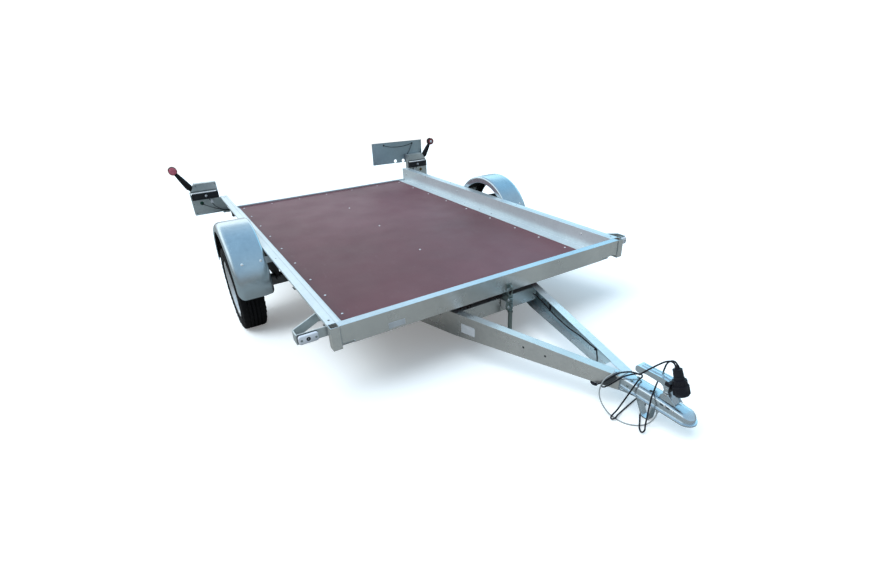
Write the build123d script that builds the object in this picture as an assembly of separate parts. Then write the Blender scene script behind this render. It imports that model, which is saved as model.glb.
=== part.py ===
from build123d import *
import os
import math

os.makedirs("parts", exist_ok=True)

# A single-axle platform trailer with a tipping bed, standing on its two wheels
# and on the flat-bar foot under its coupling. Millimetres.
#
# Everything is drawn in the trailer's level frame: x across (positive to its
# left side), y rearward from the front member's inner edge, z up from the top
# of the plywood. The whole is then pitched nose down onto the floor.

# ---- bed --------------------------------------------------------------------
BED_W = 1650.0          # clear width between the side walls
BED_L = 2650.0          # front member's inner edge to the rear end
WALL_H = 110.0          # top of the walls above the plywood
FLANGE = 55.0           # width of the top flange, wall included
LIP = 12.0              # down-turned edge of the top flange
LEDGE = 64.0            # inward ledge over the plywood's edge
SHEET = 3.0             # folded sheet thickness
FRONT_W = 40.0          # front member's top flange
FRONT_H = 95.0          # front member's height
PLY_T = 12.0
PLY_END = 2623.0        # rear edge of the plywood
XI = BED_W / 2.0        # inner face of a wall
XO = XI + FLANGE        # outer edge of a wall

# ---- wheels and axle ------------------------------------------------------------
AXLE_Y = 1364.0
AXLE_Z = -200.0
TYRE_R = 268.0
TYRE_W = 150.0
TYRE_OUT = 1083.0       # outer face of a tyre
RIM_R = 181.0           # edge of the rim's flange
TUBE_Y = 1222.0         # axle tube's centre
TUBE_Z = -137.0
TUBE = 60.0
ARM_X = 880.0
ARM_T = 24.0
GUARD_IN = 884.0
GUARD_W = 198.0
GUARD_R = 370.0
GUARD_Z = -142.0
GUARD_SH = 36.0         # rounded outer shoulder
GUARD_SHI = 16.0        # rounded inner shoulder
GUARD_SKIRT = 46.0      # depth of the inner skirt
GUARD_T = 2.5
GUARD_A0, GUARD_A1 = 7.5, 179.0     # from the rear edge over the top to the front edge, in degrees

# ---- drawbar --------------------------------------------------------------------
BAR_HALF = 271.5        # half width over the beams at y = 0
BAR_TAPER = 0.295       # loss of half width for each mm forward
BAR_TOP = -24.0
BAR_DROP = -66.0        # top of the beams under the bed
BAR_FLANGE = 40.0
BAR_T = 4.0
BAR_FRONT_Y = -804.0    # front ends of the beams, inside the coupling
HINGE_Y = 1110.0
HINGE_Z = -100.0

# ---- coupling --------------------------------------------------------------------
HEAD_W = 62.0
NOSE_Y = -1062.0        # centre of the ball socket
BALL_R = 25.2
HEAD_BOTTOM = -68.0     # lower edge of the pressed head
FOOT_Z = -153.0
FOOT_Y0, FOOT_Y1 = -937.0, -905.0      # front and rear edges of the foot

# ---- cables -----------------------------------------------------------------------
LEAD_R = 3.0            # lighting leads
WIRE_R = 2.5            # breakaway wire

# ---- pitch of the parked trailer ---------------------------------------------------
# the floor touches the foot's front edge and both tyres
slope = 0.13
for _ in range(30):
    slope = (FOOT_Z - AXLE_Z + TYRE_R * math.sqrt(1 + slope * slope)) / (AXLE_Y - FOOT_Y0)
PITCH = math.degrees(math.atan(slope))


# ---- helpers ------------------------------------------------------------------------
def box(x0, x1, y0, y1, z0, z1):
    return Pos((x0 + x1) / 2, (y0 + y1) / 2, (z0 + z1) / 2) * Box(abs(x1 - x0), abs(y1 - y0), abs(z1 - z0))


def poly(points, way):
    """Closed polygon of 3-D points, extruded along the vector way."""
    face = Face(Wire.make_polygon([Vector(*p) for p in points], close=True))
    return Solid.extrude(face, Vector(*way))


def prism_y(xz, y0, y1):
    return poly([(x, y0, z) for x, z in xz], (0, y1 - y0, 0))


def prism_x(yz, x0, x1):
    return poly([(x0, y, z) for y, z in yz], (x1 - x0, 0, 0))


def prism_z(xy, z0, z1):
    return poly([(x, y, z0) for x, y in xy], (0, 0, z1 - z0))


def rod(p, q, r):
    """Round bar from p to q."""
    a, b = Vector(*p), Vector(*q)
    return Solid.make_cylinder(r, (b - a).length, Plane(origin=a, z_dir=(b - a)))


def ring_x(profile, yc, zc, start=0.0, angle=360.0):
    """Solid of revolution about the line along X through (yc, zc).
    profile holds (x, radius) pairs; start is measured from +Y towards +Z."""
    face = Face(Wire.make_polygon([Vector(x, r, 0) for x, r in profile], close=True))
    turned = Solid.revolve(face, angle, Axis((0, 0, 0), (1, 0, 0)))
    return Pos(0, yc, zc) * Rot(X=start) * turned


parts = {}

# ---- bed: side rails -----------------------------------------------------------------
def side_rail(s):
    t = SHEET
    outline = [
        (XO, WALL_H - LIP), (XO, WALL_H), (XI, WALL_H), (XI, t), (XI - LEDGE, t), (XI - LEDGE, 0),
        (XI + t, 0), (XI + t, WALL_H - t), (XO - t, WALL_H - t), (XO - t, WALL_H - LIP),
    ]
    return prism_y([(s * x, z) for x, z in outline], 0.0, BED_L - 5)


parts["side_rail_right"] = side_rail(-1)
parts["side_rail_left"] = side_rail(1)

# ---- bed: front and rear members ------------------------------------------------------
F0 = -FRONT_W
t = SHEET
POCKET = 40.0
px = XO - POCKET                      # inner side of the corner pockets
front = prism_x([(F0, WALL_H - FRONT_H), (F0, WALL_H), (0, WALL_H), (0, WALL_H - t), (F0 + t, WALL_H - t),
                 (F0 + t, WALL_H - FRONT_H + t), (-4, WALL_H - FRONT_H + t), (-4, WALL_H - FRONT_H)], -px, px)
# raised lower edge beside each pocket: (side, its length)
for s, notch in ((-1, 57), (1, 126)):
    front -= box(s * px, s * (px - notch), F0 - 1, 1, 0, WALL_H - FRONT_H + 12)
parts["front_cross_member"] = front
parts["rear_cross_member"] = prism_x(
    [(PLY_END + 1, 0), (BED_L, 0), (BED_L, -70), (BED_L - 40, -70), (BED_L - 40, -67), (BED_L - t, -67),
     (BED_L - t, -t), (PLY_END + 1, -t)], -XI, XI)

parts["plywood_deck"] = box(-XI + 2, XI - 2, 6, PLY_END, -PLY_T, 0)

# bearers under the plywood, channels open to the rear: one row per place along the bed
BEARER_Y = (266.0, 787.0, 1396.0, 1984.0)
BEARER_H = 42.0


def bearer(y):
    z1 = -PLY_T
    z0 = z1 - BEARER_H
    return prism_x([(y, z0), (y, z1), (y + 40, z1), (y + 40, z1 - t), (y + t, z1 - t), (y + t, z0 + t),
                    (y + 40, z0 + t), (y + 40, z0)], -XI + 6, XI - 6)


parts["bed_bearers"] = Compound([bearer(y) for y in BEARER_Y])

# long chassis rails under the bearers
RAIL_X = 690.0
RAIL_TOP = -PLY_T - BEARER_H
RAIL_BOT = RAIL_TOP - 52.0


def chassis_rail(s):
    z1, z0 = RAIL_TOP, RAIL_BOT
    return prism_y([(s * x, z) for x, z in
                    [(RAIL_X, z0), (RAIL_X, z1), (RAIL_X + 40, z1), (RAIL_X + 40, z1 - 4), (RAIL_X + 4, z1 - 4),
                     (RAIL_X + 4, z0 + 4), (RAIL_X + 40, z0 + 4), (RAIL_X + 40, z0)]], 240, BED_L - 42)


parts["chassis_rail_right"] = chassis_rail(-1)
parts["chassis_rail_left"] = chassis_rail(1)

# ---- bed: corner pockets, open at the top ---------------------------------------------
def pocket(s):
    x0, x1 = XO - POCKET, XO
    tube = box(s * x0, s * x1, F0 - 2, 0, 3, WALL_H)
    tube -= box(s * (x0 + 3), s * (x1 - 3), F0 + 1, -3, 9, WALL_H + 1)
    return tube


parts["corner_pockets"] = Compound([pocket(-1).solid(), pocket(1).solid()])

# ---- front position lamps on bent flat-bar brackets --------------------------------------
BR_Z0, BR_Z1 = 52.0, 97.0
BR_Y = 15.0
# (side, outer end of the bracket, where its stay meets the wall, the lamp's inner and outer edge)
MARKERS = ((-1, 1007.0, 163.0, 917.0, 1003.0), (1, 965.0, 133.0, 882.0, 963.0))


def marker_bracket(s, bx, ys):
    b = 5.0
    outer = [(XI + SHEET, BR_Y), (bx, BR_Y), (bx, BR_Y + 53), (XO - 4, ys), (XI + SHEET, ys)]
    inner = [(XI + SHEET, ys - b), (XO - 5, ys - b), (bx - b, BR_Y + 53 - 3), (bx - b, BR_Y + b), (XI + SHEET, BR_Y + b)]
    return prism_z([(s * x, y) for x, y in outer + inner], BR_Z0, BR_Z1)


parts["marker_brackets"] = Compound([marker_bracket(s, bx, ys) for s, bx, ys, _, _ in MARKERS])


def marker_lamp(s, x0, x1):
    body = box(s * x0, s * x1, BR_Y - 18, BR_Y, 52, 96)
    body = fillet(body.edges().filter_by(Axis.Y), 12)
    return body


parts["front_marker_lamps"] = Compound([marker_lamp(s, x0, x1).solid() for s, _, _, x0, x1 in MARKERS])

# ---- mudguards -----------------------------------------------------------------------------
def mudguard(s):
    x0, x1 = GUARD_IN, GUARD_IN + GUARD_W
    r, sh, g = GUARD_R, GUARD_SH, GUARD_T
    k = sh * (1 - math.cos(math.radians(45)))
    hi = GUARD_SHI
    j = hi * (1 - math.cos(math.radians(45)))
    outer = [(x0, r - GUARD_SKIRT), (x0, r - hi), (x0 + j, r - j), (x0 + hi, r),
             (x1 - sh, r), (x1 - k, r - k), (x1, r - sh), (x1, r - sh - 14)]
    inner = [(x1 - g, r - sh - 14), (x1 - g, r - sh), (x1 - k - g * 0.71, r - k - g * 0.71), (x1 - sh, r - g),
             (x0 + hi, r - g), (x0 + j + g * 0.71, r - j - g * 0.71), (x0 + g, r - hi), (x0 + g, r - GUARD_SKIRT)]
    guard = ring_x([(s * x, q) for x, q in outer + inner], AXLE_Y, GUARD_Z, GUARD_A0, GUARD_A1 - GUARD_A0)
    for a in STAY_ANGLES:
        half = math.degrees(20 / (r - g)) + 0.1
        notch = [(x0 - 5, r - g - 6), (x0 - 5, r - g + 0.4), (x0 + hi + 0.5, r - g + 0.4), (x0 + hi + 0.5, r - g - 6)]
        guard -= ring_x([(s * x, q) for x, q in notch], AXLE_Y, GUARD_Z, a - half, 2 * half)
    # rounded corners at the lower front
    c = 34.0
    zc = GUARD_Z + r * math.sin(math.radians(180 - GUARD_A1)) + c
    yc = AXLE_Y - r
    for xa, xb, zq in ((x1 - c, x1 + 5, zc), (x0 + c - 1.5, x0 - 5, zc - 1.5)):
        guard -= box(s * xa, s * xb, yc - 20, yc + 60, zc - c - 9, zq) - rod((s * xa, yc - 30, zq), (s * xa, yc + 70, zq), c)
    return guard.solid()


# flat bars from the side rail's wall out under the mudguard, by their angle from the rear
STAY_ANGLES = (33.0, 147.0)


def stay(s, a):
    r1 = GUARD_R - GUARD_T
    half = math.degrees(20 / r1)
    section = [(XI + SHEET, r1 - 5), (XI + SHEET, r1), (GUARD_IN + GUARD_W - GUARD_SH - 6, r1), (GUARD_IN + GUARD_W - GUARD_SH - 6, r1 - 5)]
    return ring_x([(s * x, q) for x, q in section], AXLE_Y, GUARD_Z, a - half, 2 * half)


parts["mudguard_right"] = mudguard(-1)
parts["mudguard_left"] = mudguard(1)
parts["mudguard_stays"] = Compound([stay(s, a).solid() for s in (-1, 1) for a in STAY_ANGLES])

# ---- axle ---------------------------------------------------------------------------------------
tube = box(-ARM_X + 8, ARM_X - 8, TUBE_Y - TUBE / 2, TUBE_Y + TUBE / 2, TUBE_Z - TUBE / 2, TUBE_Z + TUBE / 2)
tube = chamfer(tube.edges().filter_by(Axis.X), 6)
tube -= box(-ARM_X, ARM_X, TUBE_Y - TUBE / 2 + 5, TUBE_Y + TUBE / 2 - 5, TUBE_Z - TUBE / 2 + 5, TUBE_Z + TUBE / 2 - 5)
parts["axle_tube"] = tube


def axle_arm(s):
    """Trailing arm with the fixed spindle."""
    xa, xb = s * (ARM_X - 8), s * (ARM_X + 16)
    a = math.atan2(AXLE_Z - TUBE_Z, AXLE_Y - TUBE_Y)
    n = (-math.sin(a), math.cos(a))
    ra, rb = 30.0, 24.0
    bar = prism_x([(TUBE_Y + n[0] * ra, TUBE_Z + n[1] * ra), (AXLE_Y + n[0] * rb, AXLE_Z + n[1] * rb),
                   (AXLE_Y - n[0] * rb, AXLE_Z - n[1] * rb), (TUBE_Y - n[0] * ra, TUBE_Z - n[1] * ra)], xa, xb)
    arm = bar + rod((xa, TUBE_Y, TUBE_Z), (xb, TUBE_Y, TUBE_Z), ra) + rod((xa, AXLE_Y, AXLE_Z), (xb, AXLE_Y, AXLE_Z), rb)
    arm += rod((xb, AXLE_Y, AXLE_Z), (s * 1000, AXLE_Y, AXLE_Z), 15)
    return arm.solid()


parts["axle_arms"] = Compound([axle_arm(-1), axle_arm(1)])


def axle_bracket(s):
    """Plate from the chassis rail down to the axle tube, under the rail."""
    x0, x1 = s * (RAIL_X + 2), s * (RAIL_X + 38)
    z_top, z_bot = RAIL_BOT, TUBE_Z + TUBE / 2
    return box(x0, x1, TUBE_Y - 75, TUBE_Y + 55, z_bot, z_top)


parts["axle_pads"] = Compound([axle_bracket(-1), axle_bracket(1)])

# ---- wheels ----------------------------------------------------------------------------------------
def tyre(s):
    x1 = TYRE_OUT
    x0 = x1 - TYRE_W
    r = TYRE_R
    rb = RIM_R - 14
    prof = [(x0 + 17, rb), (x0 + 17, rb + 13), (x0 + 6, rb + 21), (x0, rb + 48), (x0 + 4, r - 18), (x0 + 18, r - 3), (x0 + 34, r),
            (x1 - 34, r), (x1 - 18, r - 3), (x1 - 4, r - 18), (x1, rb + 48), (x1 - 6, rb + 21), (x1 - 17, rb + 13), (x1 - 17, rb)]
    return ring_x([(s * x, q) for x, q in prof], AXLE_Y, AXLE_Z)


def rim(s):
    x1 = TYRE_OUT
    x0 = x1 - TYRE_W
    rb = RIM_R - 14
    # barrel with two flanges, and a dished disc with the hub face
    outer = [(x0 + 8, RIM_R), (x0 + 13, RIM_R), (x0 + 16, rb), (x0 + 40, rb - 2), (x0 + 52, rb - 18), (x1 - 52, rb - 18),
             (x1 - 40, rb - 2), (x1 - 16, rb), (x1 - 13, RIM_R), (x1 - 8, RIM_R)]
    inner = [(x1 - 10, rb - 2), (x1 - 20, rb - 5), (x1 - 42, rb - 7), (x1 - 54, rb - 22), (x1 - 56, 96), (x1 - 46, 82),
             (x1 - 62, 62), (x1 - 62, 32), (x1 - 68, 32), (x1 - 68, 66), (x1 - 54, 84), (x1 - 62, 96), (x1 - 62, rb - 22),
             (x0 + 54, rb - 22), (x0 + 42, rb - 7), (x0 + 20, rb - 5), (x0 + 10, rb - 2)]
    return ring_x([(s * x, q) for x, q in outer + inner], AXLE_Y, AXLE_Z)


def hub(s):
    x1 = TYRE_OUT
    prof = [(x1 - 112, 17), (x1 - 112, 44), (x1 - 84, 48), (x1 - 84, 62), (x1 - 68, 62), (x1 - 68, 31.5), (x1 - 28, 30), (x1 - 24, 26),
            (x1 - 24, 0), (x1 - 78, 0), (x1 - 78, 17)]
    return ring_x([(s * x, q) for x, q in prof], AXLE_Y, AXLE_Z)


for side, s in (("right", -1), ("left", 1)):
    parts["tyre_" + side] = tyre(s)
    parts["rim_" + side] = rim(s)
    parts["hub_" + side] = hub(s)

# ---- rear lamp carriers ---------------------------------------------------------------------------------
LB_Y = 2632.0           # front plate of the carriers
LB_D = 52.0             # their depth
LB_X0, LB_X1 = 886.0, 1094.0
LB_Z0, LB_Z1 = -12.0, 235.0
LB_CUT = (46.0, 75.0)   # cut-off outer top corner


def lamp_box(s):
    x0, x1, z0, z1 = LB_X0, LB_X1, LB_Z0, LB_Z1
    cx, cz = LB_CUT
    b = 2.5
    out = [(x0, z0), (x1, z0), (x1, z1 - cz), (x1 - cx, z1), (x0, z1)]
    ins = [(x0 + b, z0 + b), (x1 - b, z0 + b), (x1 - b, z1 - cz - 1), (x1 - cx - 1.5, z1 - b), (x0 + b, z1 - b)]
    shell = prism_y([(s * x, z) for x, z in out], LB_Y, LB_Y + LB_D)
    shell -= prism_y([(s * x, z) for x, z in ins], LB_Y + b, LB_Y + LB_D + 1)
    # window that the lamp's housing stands through
    shell -= box(s * (x0 + 12), s * (x1 - 6), LB_Y - 1, LB_Y + b + 1, 106, 166)
    # foot that bolts to the rail
    shell += box(s * (XI + SHEET), s * (x0 + 2), LB_Y - 62, LB_Y + 2.5, LB_Z0, LB_Z0 + 4)
    shell += box(s * x0, s * x1, LB_Y - 14, LB_Y + 1, LB_Z0, LB_Z0 + 2.5)
    shell += box(s * (XI + SHEET), s * (XI + SHEET + 4), LB_Y - 62, LB_Y, LB_Z0, 42)
    return shell.solid()


parts["lamp_box_right"] = lamp_box(-1)
parts["lamp_box_left"] = lamp_box(1)


def rear_lamp(s):
    body = box(s * (LB_X0 + 16), s * (LB_X1 - 10), LB_Y - 22, LB_Y + 2.6, 110, 162)
    body += box(s * (LB_X0 + 5), s * (LB_X1 - 5), LB_Y + 2.5, LB_Y + 56, -2, 146)
    return body.solid()


parts["rear_lamps"] = Compound([rear_lamp(-1), rear_lamp(1)])

# rubber-arm position lamps on the cut corners: (side, height of the head)
ARM_LAMPS = ((-1, 352.0), (1, 333.0))
HEAD_X, HEAD_R = 1166.0, 31.0


def arm_lamp(s, zh):
    cx, cz = LB_CUT
    yc = LB_Y + 26
    m = Vector(s * (LB_X1 - cx / 2), yc, LB_Z1 - cz / 2)
    n = Vector(s * cz, 0, cx).normalized()
    base = Solid.make_cylinder(21, 15, Plane(origin=m, z_dir=n))
    a = m + n * 12
    h = Vector(s * HEAD_X, yc, zh)
    k = a + (h - a) * 0.27
    lower = Solid.make_cone(19, 15, (k - a).length, Plane(origin=a, z_dir=k - a))
    knee = Solid.make_sphere(15).moved(Location(k))
    e = h - (h - k).normalized() * 16
    upper = Solid.make_cone(15, 12, (e - k).length, Plane(origin=k, z_dir=e - k))
    head = Solid.make_cylinder(HEAD_R, 34, Plane(origin=Vector(h.X, h.Y - 17, h.Z), z_dir=(0, 1, 0)))
    lamp = base.fuse(lower, knee, upper, head)
    assert len(lamp.solids()) == 1 and lamp.bounding_box().size.Z > 120
    return lamp.solids()[0]


parts["arm_lamps"] = Compound([arm_lamp(s, zh) for s, zh in ARM_LAMPS])

# plain number plate board on the left carrier, hung a little out of level
PB_W, PB_H, PB_TURN = 539.4, 202.8, math.radians(-1.22)
PB_X, PB_Z = 540.5, 368.4              # its upper inner corner
u = (math.cos(PB_TURN), math.sin(PB_TURN))
d = (u[1], -u[0])
PB_Y = LB_Y + LB_D + 5
board = prism_y([(PB_X, PB_Z), (PB_X + u[0] * PB_W, PB_Z + u[1] * PB_W),
                 (PB_X + u[0] * PB_W + d[0] * PB_H, PB_Z + u[1] * PB_W + d[1] * PB_H), (PB_X + d[0] * PB_H, PB_Z + d[1] * PB_H)], PB_Y, PB_Y + 3)
for hx, hz in ((775.6, 179.9), (862.6, 175.8)):
    board -= rod((hx, PB_Y - 5, hz), (hx, PB_Y + 7, hz), 16)
board += box(890, 1040, LB_Y + LB_D - 0.1, PB_Y + 1, 210, 232)
parts["number_plate_board"] = board.solid()

# ---- drawbar: two tapering channels in a V -----------------------------------------------------------------
def bar_x(y):
    return BAR_HALF + BAR_TAPER * y


def beam(s):
    """Channel open towards the trailer's centre line, cut from its side view."""
    n = math.sqrt(1 + BAR_TAPER ** 2)
    ya, yb = BAR_FRONT_Y, HINGE_Y
    side = [(ya, BAR_TOP), (48, BAR_TOP), (80, BAR_DROP), (HINGE_Y + 8, BAR_DROP), (HINGE_Y + 30, BAR_DROP - 16), (HINGE_Y + 30, -128),
            (HINGE_Y + 4, -140), (340, -152), (0, -150), (ya, -86)]

    def slab(off0, off1):
        lo = [(s * (bar_x(ya - 5) - off0 * n), ya - 5), (s * (bar_x(yb + 60) - off0 * n), yb + 60),
              (s * (bar_x(yb + 60) - off1 * n), yb + 60), (s * (bar_x(ya - 5) - off1 * n), ya - 5)]
        return prism_z(lo, -170, 0)

    full = prism_x(side, s * 0.5, s * 700) & slab(0, BAR_FLANGE)
    b = BAR_T
    core_side = [(ya - 6, BAR_TOP - b), (48 - b * 0.5, BAR_TOP - b), (80 - b * 0.5, BAR_DROP - b), (HINGE_Y + 60, BAR_DROP - b),
                 (HINGE_Y + 60, -128 + b), (HINGE_Y + 4, -140 + b), (340, -152 + b), (0, -150 + b), (ya - 6, -86 + b - 0.5)]
    core = prism_x(core_side, s * 0.4, s * 701) & slab(b, BAR_FLANGE + 1)
    return (full - core - rod((s * 400, HINGE_Y, HINGE_Z), (s * 700, HINGE_Y, HINGE_Z), 22)).solid()


parts["drawbar_beam_right"] = beam(-1)
parts["drawbar_beam_left"] = beam(1)

CM_Y = -10.0
cm_half = bar_x(CM_Y) - BAR_T * 1.05
parts["drawbar_cross_member"] = prism_x(
    [(CM_Y, -104), (CM_Y, BAR_TOP - BAR_T), (CM_Y + 38, BAR_TOP - BAR_T), (CM_Y + 38, BAR_TOP - BAR_T - 4), (CM_Y + 4, BAR_TOP - BAR_T - 4),
     (CM_Y + 4, -100), (CM_Y + 38, -100), (CM_Y + 38, -104)], -cm_half + 14, cm_half - 14)

# apex plate that closes the V behind the coupling
parts["drawbar_gusset"] = prism_z([(-bar_x(-712) + BAR_T + 1, -712), (bar_x(-712) - BAR_T - 1, -712),
                                   (bar_x(-802) - BAR_T - 1.5, -802), (22, -805), (22, -850), (-22, -850), (-22, -805),
                                   (-bar_x(-802) + BAR_T + 1.5, -802)], BAR_TOP - BAR_T - 5, BAR_TOP - BAR_T)

# ---- drawbar: hinge under the bed ---------------------------------------------------------------------------
PIN_R = 12.0
parts["drawbar_hinge_tube"] = (
    rod((-bar_x(HINGE_Y) - 12, HINGE_Y, HINGE_Z), (bar_x(HINGE_Y) + 12, HINGE_Y, HINGE_Z), 22)
    - rod((-640, HINGE_Y, HINGE_Z), (640, HINGE_Y, HINGE_Z), PIN_R + 0.08)).solid()


def lug(s):
    """Lug on the chassis rail that carries the hinge pin."""
    x0, x1 = RAIL_X - 12, RAIL_X + 0.0
    z_low = HINGE_Z - 26
    plate = prism_x([(HINGE_Y - 38, RAIL_TOP - 6), (HINGE_Y + 38, RAIL_TOP - 6), (HINGE_Y + 28, z_low), (HINGE_Y - 28, z_low)], s * x0, s * x1)
    plate -= rod((s * (x0 - 1), HINGE_Y, HINGE_Z), (s * (x1 + 1), HINGE_Y, HINGE_Z), PIN_R)
    return plate.solid()


parts["hinge_lugs"] = Compound([lug(-1), lug(1)])
parts["hinge_pin"] = rod((-(RAIL_X - 1), HINGE_Y, HINGE_Z), (RAIL_X - 1, HINGE_Y, HINGE_Z), PIN_R)

# ---- coupling ------------------------------------------------------------------------------------------------
HB = HEAD_BOTTOM
REAR_Y, SLOPE_Y = -806.0, -872.0       # the lower edge slopes down to the rear behind SLOPE_Y
REAR_Z = -82.0
W2 = HEAD_W / 2
plan = box(-W2, W2, NOSE_Y, REAR_Y, HB, BAR_TOP) + rod((0, NOSE_Y, HB), (0, NOSE_Y, BAR_TOP), W2)
plan = plan.solid()
rim_edges = [e for e in plan.edges() if e.bounding_box().min.Z > BAR_TOP - 0.01 and e.center().Y < REAR_Y - 1]
head = fillet(rim_edges, 9)
head += prism_x([(REAR_Y, HB + 0.5), (REAR_Y, REAR_Z), (SLOPE_Y, HB), (SLOPE_Y, HB + 0.5)], -W2, W2)
# turned-out lower edge
lip = [(REAR_Y, REAR_Z), (SLOPE_Y, HB), (NOSE_Y, HB), (NOSE_Y, HB + 6), (SLOPE_Y + 1, HB + 6), (REAR_Y, REAR_Z + 6)]
head += prism_x(lip, -W2 - 7, W2 + 7)
head += rod((0, NOSE_Y, HB), (0, NOSE_Y, HB + 6), W2 + 7)
# hollow behind the socket, and the socket
head -= prism_y([(-26, REAR_Z - 5), (-26, BAR_TOP - 8), (-23, BAR_TOP - 4), (23, BAR_TOP - 4), (26, BAR_TOP - 8), (26, REAR_Z - 5)], -1000, -800)
head -= rod((0, NOSE_Y, HB - 1), (0, NOSE_Y, HB + 36), BALL_R)
parts["coupling_head"] = head.solid()

# flat-bar foot, bent to a U, welded in under the head's top
FOOT_W = 30.0
foot_out = [(-868, BAR_TOP - 4), (-877, -98), (-903.5, -149), (-909, FOOT_Z), (FOOT_Y0 + 4, FOOT_Z), (FOOT_Y0, -149), (-941, -101), (-944, BAR_TOP - 4)]
foot_in = [(-939, BAR_TOP - 4), (-936, -101), (-932.3, -147), (-931, FOOT_Z + 5), (-911, FOOT_Z + 5), (-908, -147), (-882, -99), (-873, BAR_TOP - 4)]
parts["coupling_foot"] = prism_x(foot_out + foot_in, -FOOT_W / 2, FOOT_W / 2)

# handle, lying back over the head
HANDLE_W = 36.0
parts["coupling_handle"] = prism_x(
    [(-1022, BAR_TOP), (-1006, -6), (-991, 8), (-991, 50), (-984, 55), (-965, 57), (-880, 53), (-856, 52), (-850, 44), (-851, 30),
     (-858, 25), (-872, 25), (-886, 33), (-900, 35), (-958, 33), (-968, 27), (-973, 16), (-971, -10), (-973, BAR_TOP)], -HANDLE_W / 2, HANDLE_W / 2)

# ---- tipping latch on the front -----------------------------------------------------------------------------------
parts["latch_rod"] = rod((36, -60, -215), (36, -60, -82), 11)
parts["latch_body"] = box(19, 52, -60, CM_Y, -82, -3)
parts["latch_staple"] = box(22, 50, F0 - 8, F0, 24, 60)

# ---- plug, parked on a holder at the front of the handle ---------------------------------------------------------------
PLUG_TOP, PLUG_END = Vector(0, -995, 108), Vector(0, -1031, 20)
ax = (PLUG_END - PLUG_TOP).normalized()


def along(d0, d1, r):
    """Round length of the plug between two distances from its top."""
    return Solid.make_cylinder(r, d1 - d0, Plane(origin=PLUG_TOP + ax * d0, z_dir=ax))


plug = along(0, 40, 16).fuse(along(38, 60, 23.5), along(58, 88, 27), along(86, 95, 22)).solids()[0]
parts["plug"] = plug
holder = box(-20, 20, -995, -991, 14, 50) + box(-22, -HANDLE_W / 2, -995, -975, 38, 52) + box(-9, 9, -1004, -994, 26, 40)
parts["plug_holder"] = (holder - plug).solid()

# ---- leads and wire ----------------------------------------------------------------------------------------------------
def tube_along(name, points, r):
    """Round cable: straight runs joined by tangent arcs as large as the runs allow."""
    v = [Vector(*p) for p in points]
    runs = [(b - a).length for a, b in zip(v, v[1:])]
    turns = [(v[i] - v[i - 1]).get_angle(v[i + 1] - v[i]) for i in range(1, len(v) - 1)]
    radii = [0.45 * min(runs[i], runs[i + 1]) / math.tan(math.radians(t) / 2) for i, t in enumerate(turns)]
    path = FilletPolyline(*v, radius=radii)
    body = sweep(Plane(origin=path @ 0, z_dir=path % 0) * Circle(r), path=path).solid()
    print(name, "length", round(path.length, 1), "runs", round(min(runs), 1), "to", round(max(runs), 1), "volume ratio",
          round(body.volume / (math.pi * r * r * path.length), 4), "sharpest turn", round(max(turns), 1), "smallest radii",
          sorted(round(q, 1) for q in radii)[:6])
    return body


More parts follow.
